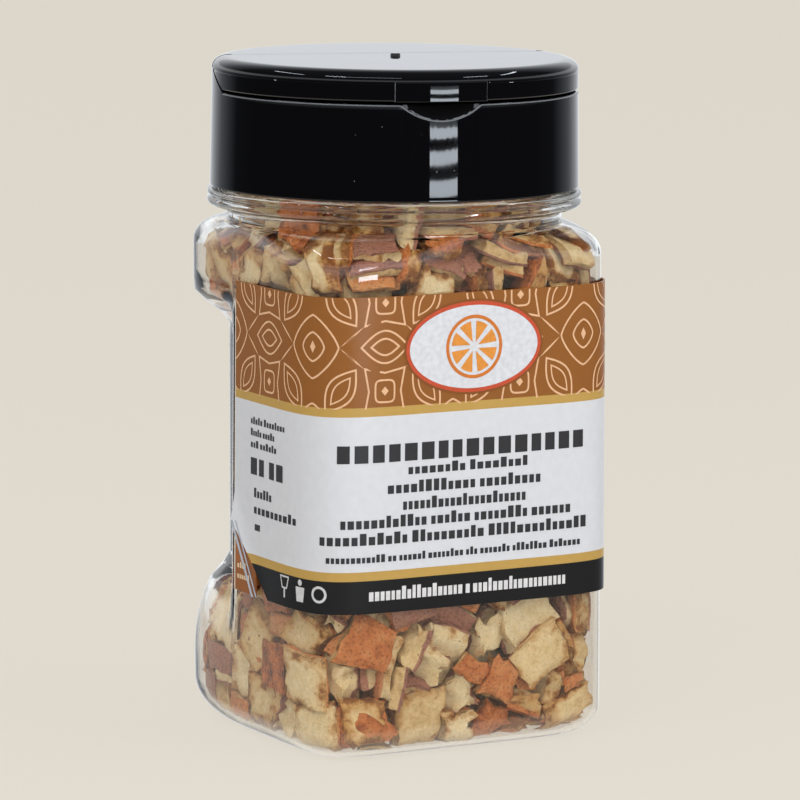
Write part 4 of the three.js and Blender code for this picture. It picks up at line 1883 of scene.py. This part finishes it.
    def build(self) -> list[bpy.types.Object]:
        """Build and dress the cap.

        Returns:
            The fixed part, riding on the jar's body, and the lid, riding on the flap's.
        """
        finish = GlossPolypropylene("polypropylene, moulded black")
        # A lighter grey, rougher finish: a painted highlight on the rim, along the thumb notch's edge and on
        # the tab's short sides.
        edge = GlossPolypropylene(
            "polypropylene, worn edge", colour="#5A5D62", smooth_low=0.3, smooth_high=0.42
        )
        made = []
        spin = Matrix.Rotation(math.radians(self.turn_degrees), 4, "Z")
        for piece, node, body, on_highlight in (
            (self.base(), "cap_base", Body.JAR, self.on_base_highlight),
            (self.lid(), "cap_flap", Body.FLAP, self.on_lid_highlight),
        ):
            finish.put_on(piece)
            piece.data.materials.append(edge.material())
            # Faces that pass the test take the painted highlight finish.
            for face in piece.data.polygons:
                if on_highlight(face):
                    face.material_index = 1
            piece.data.transform(spin)
            smooth(piece, self.soft_below)
            bake_modifier(piece, "WEIGHTED_NORMAL", keep_sharp=True)
            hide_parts(node)
            made.append(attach(piece, body.value))
        web = self.hinge_web()
        web.data.transform(spin)
        smooth(web, 60.0)
        finish.put_on(web)
        made.append(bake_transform(web))
        return made


# ---- Studio ---------------------------------------------------------------------------------------


@dataclass
class Studio:
    """The plain floor, the soft light round the jar, and the camera."""

    paper: str = "#DED8CC"
    floor_size: float = 12.0
    target: tuple[float, float, float] = (0.0, 0.0, 58.5)
    azimuth: float = -28.95
    elevation: float = 8.44
    roll: float = 0.48
    distance: float = 913.4
    lens: float = 228.4
    shift: tuple[float, float] = (0.00945, 0.0014)
    ambient: float = 0.62
    inner_glow: float = 2.0

    def world(self) -> None:
        """A room that lights evenly and is pale to look at, and whose reflection has dark walls."""
        world = bpy.data.worlds.new("studio")
        bpy.context.scene.world = world
        world.use_nodes = True
        tree = world.node_tree
        tree.nodes.clear()
        where = add_node(tree, "TexCoord")
        parts = add_node(tree, "SeparateXYZ", {0: where.outputs["Generated"]})
        height = add_node(
            tree, "MapRange",
            {"Value": parts.outputs["Z"], "From Min": -1.0, "From Max": 1.0, "To Min": 0.0, "To Max": 1.0},
        )
        bands = add_node(
            tree, "ValToRGB", {0: height.outputs["Result"]},
            stops=[(0.0, "#C4C0B8"), (0.32, "#B4B0A8"), (0.37, "#242322"), (0.475, "#1C1C1C"),
                   (0.505, "#B2B6B9"), (0.60, "#CDD0D2"), (0.66, "#202122"), (1.0, "#3A3B3C")],
        )
        away = add_node(
            tree, "VectorMath",
            {0: where.outputs["Generated"], 1: -direction(self.azimuth, 0.0)}, operation="DOT_PRODUCT",
        )
        behind = add_node(
            tree, "ValToRGB", {0: away.outputs["Value"]},
            stops=[(0.0, "#17181A"), (0.45, "#24262A"), (0.75, "#74787D"), (1.0, "#C0C3C7")],
        )
        mirror = add_node(
            tree, "Mix", {0: 1.0, 6: bands.outputs["Color"], 7: behind.outputs["Color"]},
            data_type="RGBA", blend_type="LIGHTEN",
        )
        path = add_node(tree, "LightPath")
        within = add_node(tree, "Math", {0: path.outputs["Diffuse Depth"], 1: 1.0}, operation="MINIMUM")
        lift = add_node(
            tree, "Math", {0: within.outputs[0], 1: self.inner_glow, 2: 1.0}, operation="MULTIPLY_ADD"
        )
        seen = add_node(tree, "Background", {"Color": self.paper, "Strength": lift.outputs[0]})
        mirrored = add_node(tree, "Background", {"Color": mirror.outputs[2], "Strength": 1.9})
        even = add_node(tree, "Background", {"Color": "#F6F4F0", "Strength": self.ambient})
        first = add_node(
            tree, "MixShader",
            {0: path.outputs["Is Glossy Ray"], 1: seen.outputs[0], 2: mirrored.outputs[0]},
        )
        second = add_node(
            tree, "MixShader",
            {0: path.outputs["Is Diffuse Ray"], 1: first.outputs[0], 2: even.outputs[0]},
        )
        add_node(tree, "OutputWorld", {"Surface": second.outputs[0]})

    def floor(self) -> None:
        """A wide sheet of pale paper that glows a little, so that it stays even out to its edge."""
        deselect()
        bpy.ops.mesh.primitive_plane_add(size=self.floor_size, location=(0.0, 0.0, -0.0003))
        sheet = bpy.context.object
        sheet.name = "paper_floor"
        paper = bpy.data.materials.new("studio paper")
        paper.use_nodes = True
        tree = paper.node_tree
        tree.nodes.clear()
        matt = add_node(tree, "BsdfDiffuse", {"Color": "#4A4844"})
        glow = add_node(tree, "Emission", {"Color": self.paper, "Strength": 0.93})
        both = add_node(tree, "AddShader", {0: matt.outputs[0], 1: glow.outputs[0]})
        add_node(tree, "OutputMaterial", {"Surface": both.outputs[0]})
        sheet.data.materials.append(paper)
        sheet.visible_glossy = False

    def softbox(
        self, name: str, azimuth: float, elevation: float, distance: float,
        size: tuple[float, float], power: float, aim: float = 60.0, mirrored: bool = False,
    ) -> None:
        """Hang an area light that faces the jar.

        Args:
            name: The light's name.
            azimuth: Degrees round the jar, 0 in front of the label's main face.
            elevation: Degrees above the horizon.
            distance: Distance in millimetres from the aim point.
            size: Width and height in millimetres.
            power: Watts.
            aim: Height in millimetres of the aim point.
            mirrored: Whether gloss shows it.
        """
        data = bpy.data.lights.new(name, "AREA")
        data.shape = "RECTANGLE"
        data.size, data.size_y = size[0] * MM, size[1] * MM
        data.energy = power
        if mirrored:
            data.color = linear("#E2EBF4")[:3]
        lamp = bpy.data.objects.new(name, data)
        bpy.context.scene.collection.objects.link(lamp)
        back = direction(azimuth, elevation)
        lamp.location = Vector((0.0, 0.0, aim)) * MM + back * distance * MM
        lamp.rotation_euler = (-back).to_track_quat("-Z", "Y").to_euler()
        lamp.visible_camera = False
        lamp.visible_glossy = mirrored
        lamp.visible_transmission = False

    def lights(self) -> None:
        """Broad lights for the shading, and narrow ones that only the gloss needs."""
        self.softbox("key", -45.0, 38.0, 900.0, (900.0, 600.0), 4.8)
        self.softbox("fill_right", 40.0, 25.0, 1000.0, (700.0, 700.0), 4.6)
        side = self.azimuth
        strips = ((-97, 300), (-48, 120), (-18, 330), (67, 160), (114, 300))
        for number, (turn, width) in enumerate(strips):
            name = f"ceiling_strip_{number}"
            self.softbox(name, side + turn, 50.0, 600.0, (width, 16.0), 0.25, 118.0, True)
        panes = ((110.4, 112.9, 17.8, 0.75), (104.6, 107.7, 17.8, 0.75), (96.9, 101.0, 17.8, 0.7),
                 (86.0, 96.0, 31.0, 1.0), (115.9, 118.5, 21.4, 0.08))
        for number, (low, high, drop, share) in enumerate(panes):
            self.softbox(f"window_pane_{number}", side + 28.9, 0.0, 300.0, (88.0, high - low),
                         0.0045 * (high - low) * share, (low + high) / 2 - drop, True)

    def camera(self) -> None:
        """A long lens from the front left, a little above the jar."""
        data = bpy.data.cameras.new("camera")
        data.lens = self.lens
        data.sensor_width = 36.0
        data.shift_x, data.shift_y = self.shift
        data.clip_start, data.clip_end = 0.05, 50.0
        camera = bpy.data.objects.new("camera", data)
        bpy.context.scene.collection.objects.link(camera)
        back = direction(self.azimuth, self.elevation)
        turn = math.radians(self.azimuth)
        right = Vector((math.cos(turn), math.sin(turn), 0.0))
        up = back.cross(right)
        lean = math.radians(self.roll)
        across = right * math.cos(lean) + up * math.sin(lean)
        upright = up * math.cos(lean) - right * math.sin(lean)
        place = Vector(self.target) * MM + back * self.distance * MM
        camera.matrix_world = Matrix(
            (
                (across.x, upright.x, back.x, place.x),
                (across.y, upright.y, back.y, place.y),
                (across.z, upright.z, back.z, place.z),
                (0.0, 0.0, 0.0, 1.0),
            )
        )
        bpy.context.scene.camera = camera

    def build(self) -> None:
        """Set up the floor, the world, the lights, the camera and a plain view transform."""
        self.world()
        self.floor()
        self.lights()
        self.camera()
        bpy.context.scene.view_settings.view_transform = "Standard"


def direction(azimuth: float, elevation: float) -> Vector:
    """The unit vector from the jar towards a place, from degrees round it and above the horizon."""
    around, above = math.radians(azimuth), math.radians(elevation)
    flat = math.cos(above)
    return Vector((math.sin(around) * flat, -math.cos(around) * flat, math.sin(above)))


# ---- Assembly -------------------------------------------------------------------------------------


def main() -> None:
    """Build the studio and every piece in order, and report each one."""
    logging.basicConfig(level=logging.INFO, format="%(name)s: %(message)s")
    Studio().build()
    section = JarSection()
    made = [ClearJar(section).build(), *PeelHeap(section).build()]
    made.extend(WrapLabel(section).build())
    made.extend(FlipTopCap().build())
    for piece in made:
        LOG.info("%s has %d faces", piece.name, len(piece.data.polygons))


if __name__ == "__main__":
    main()
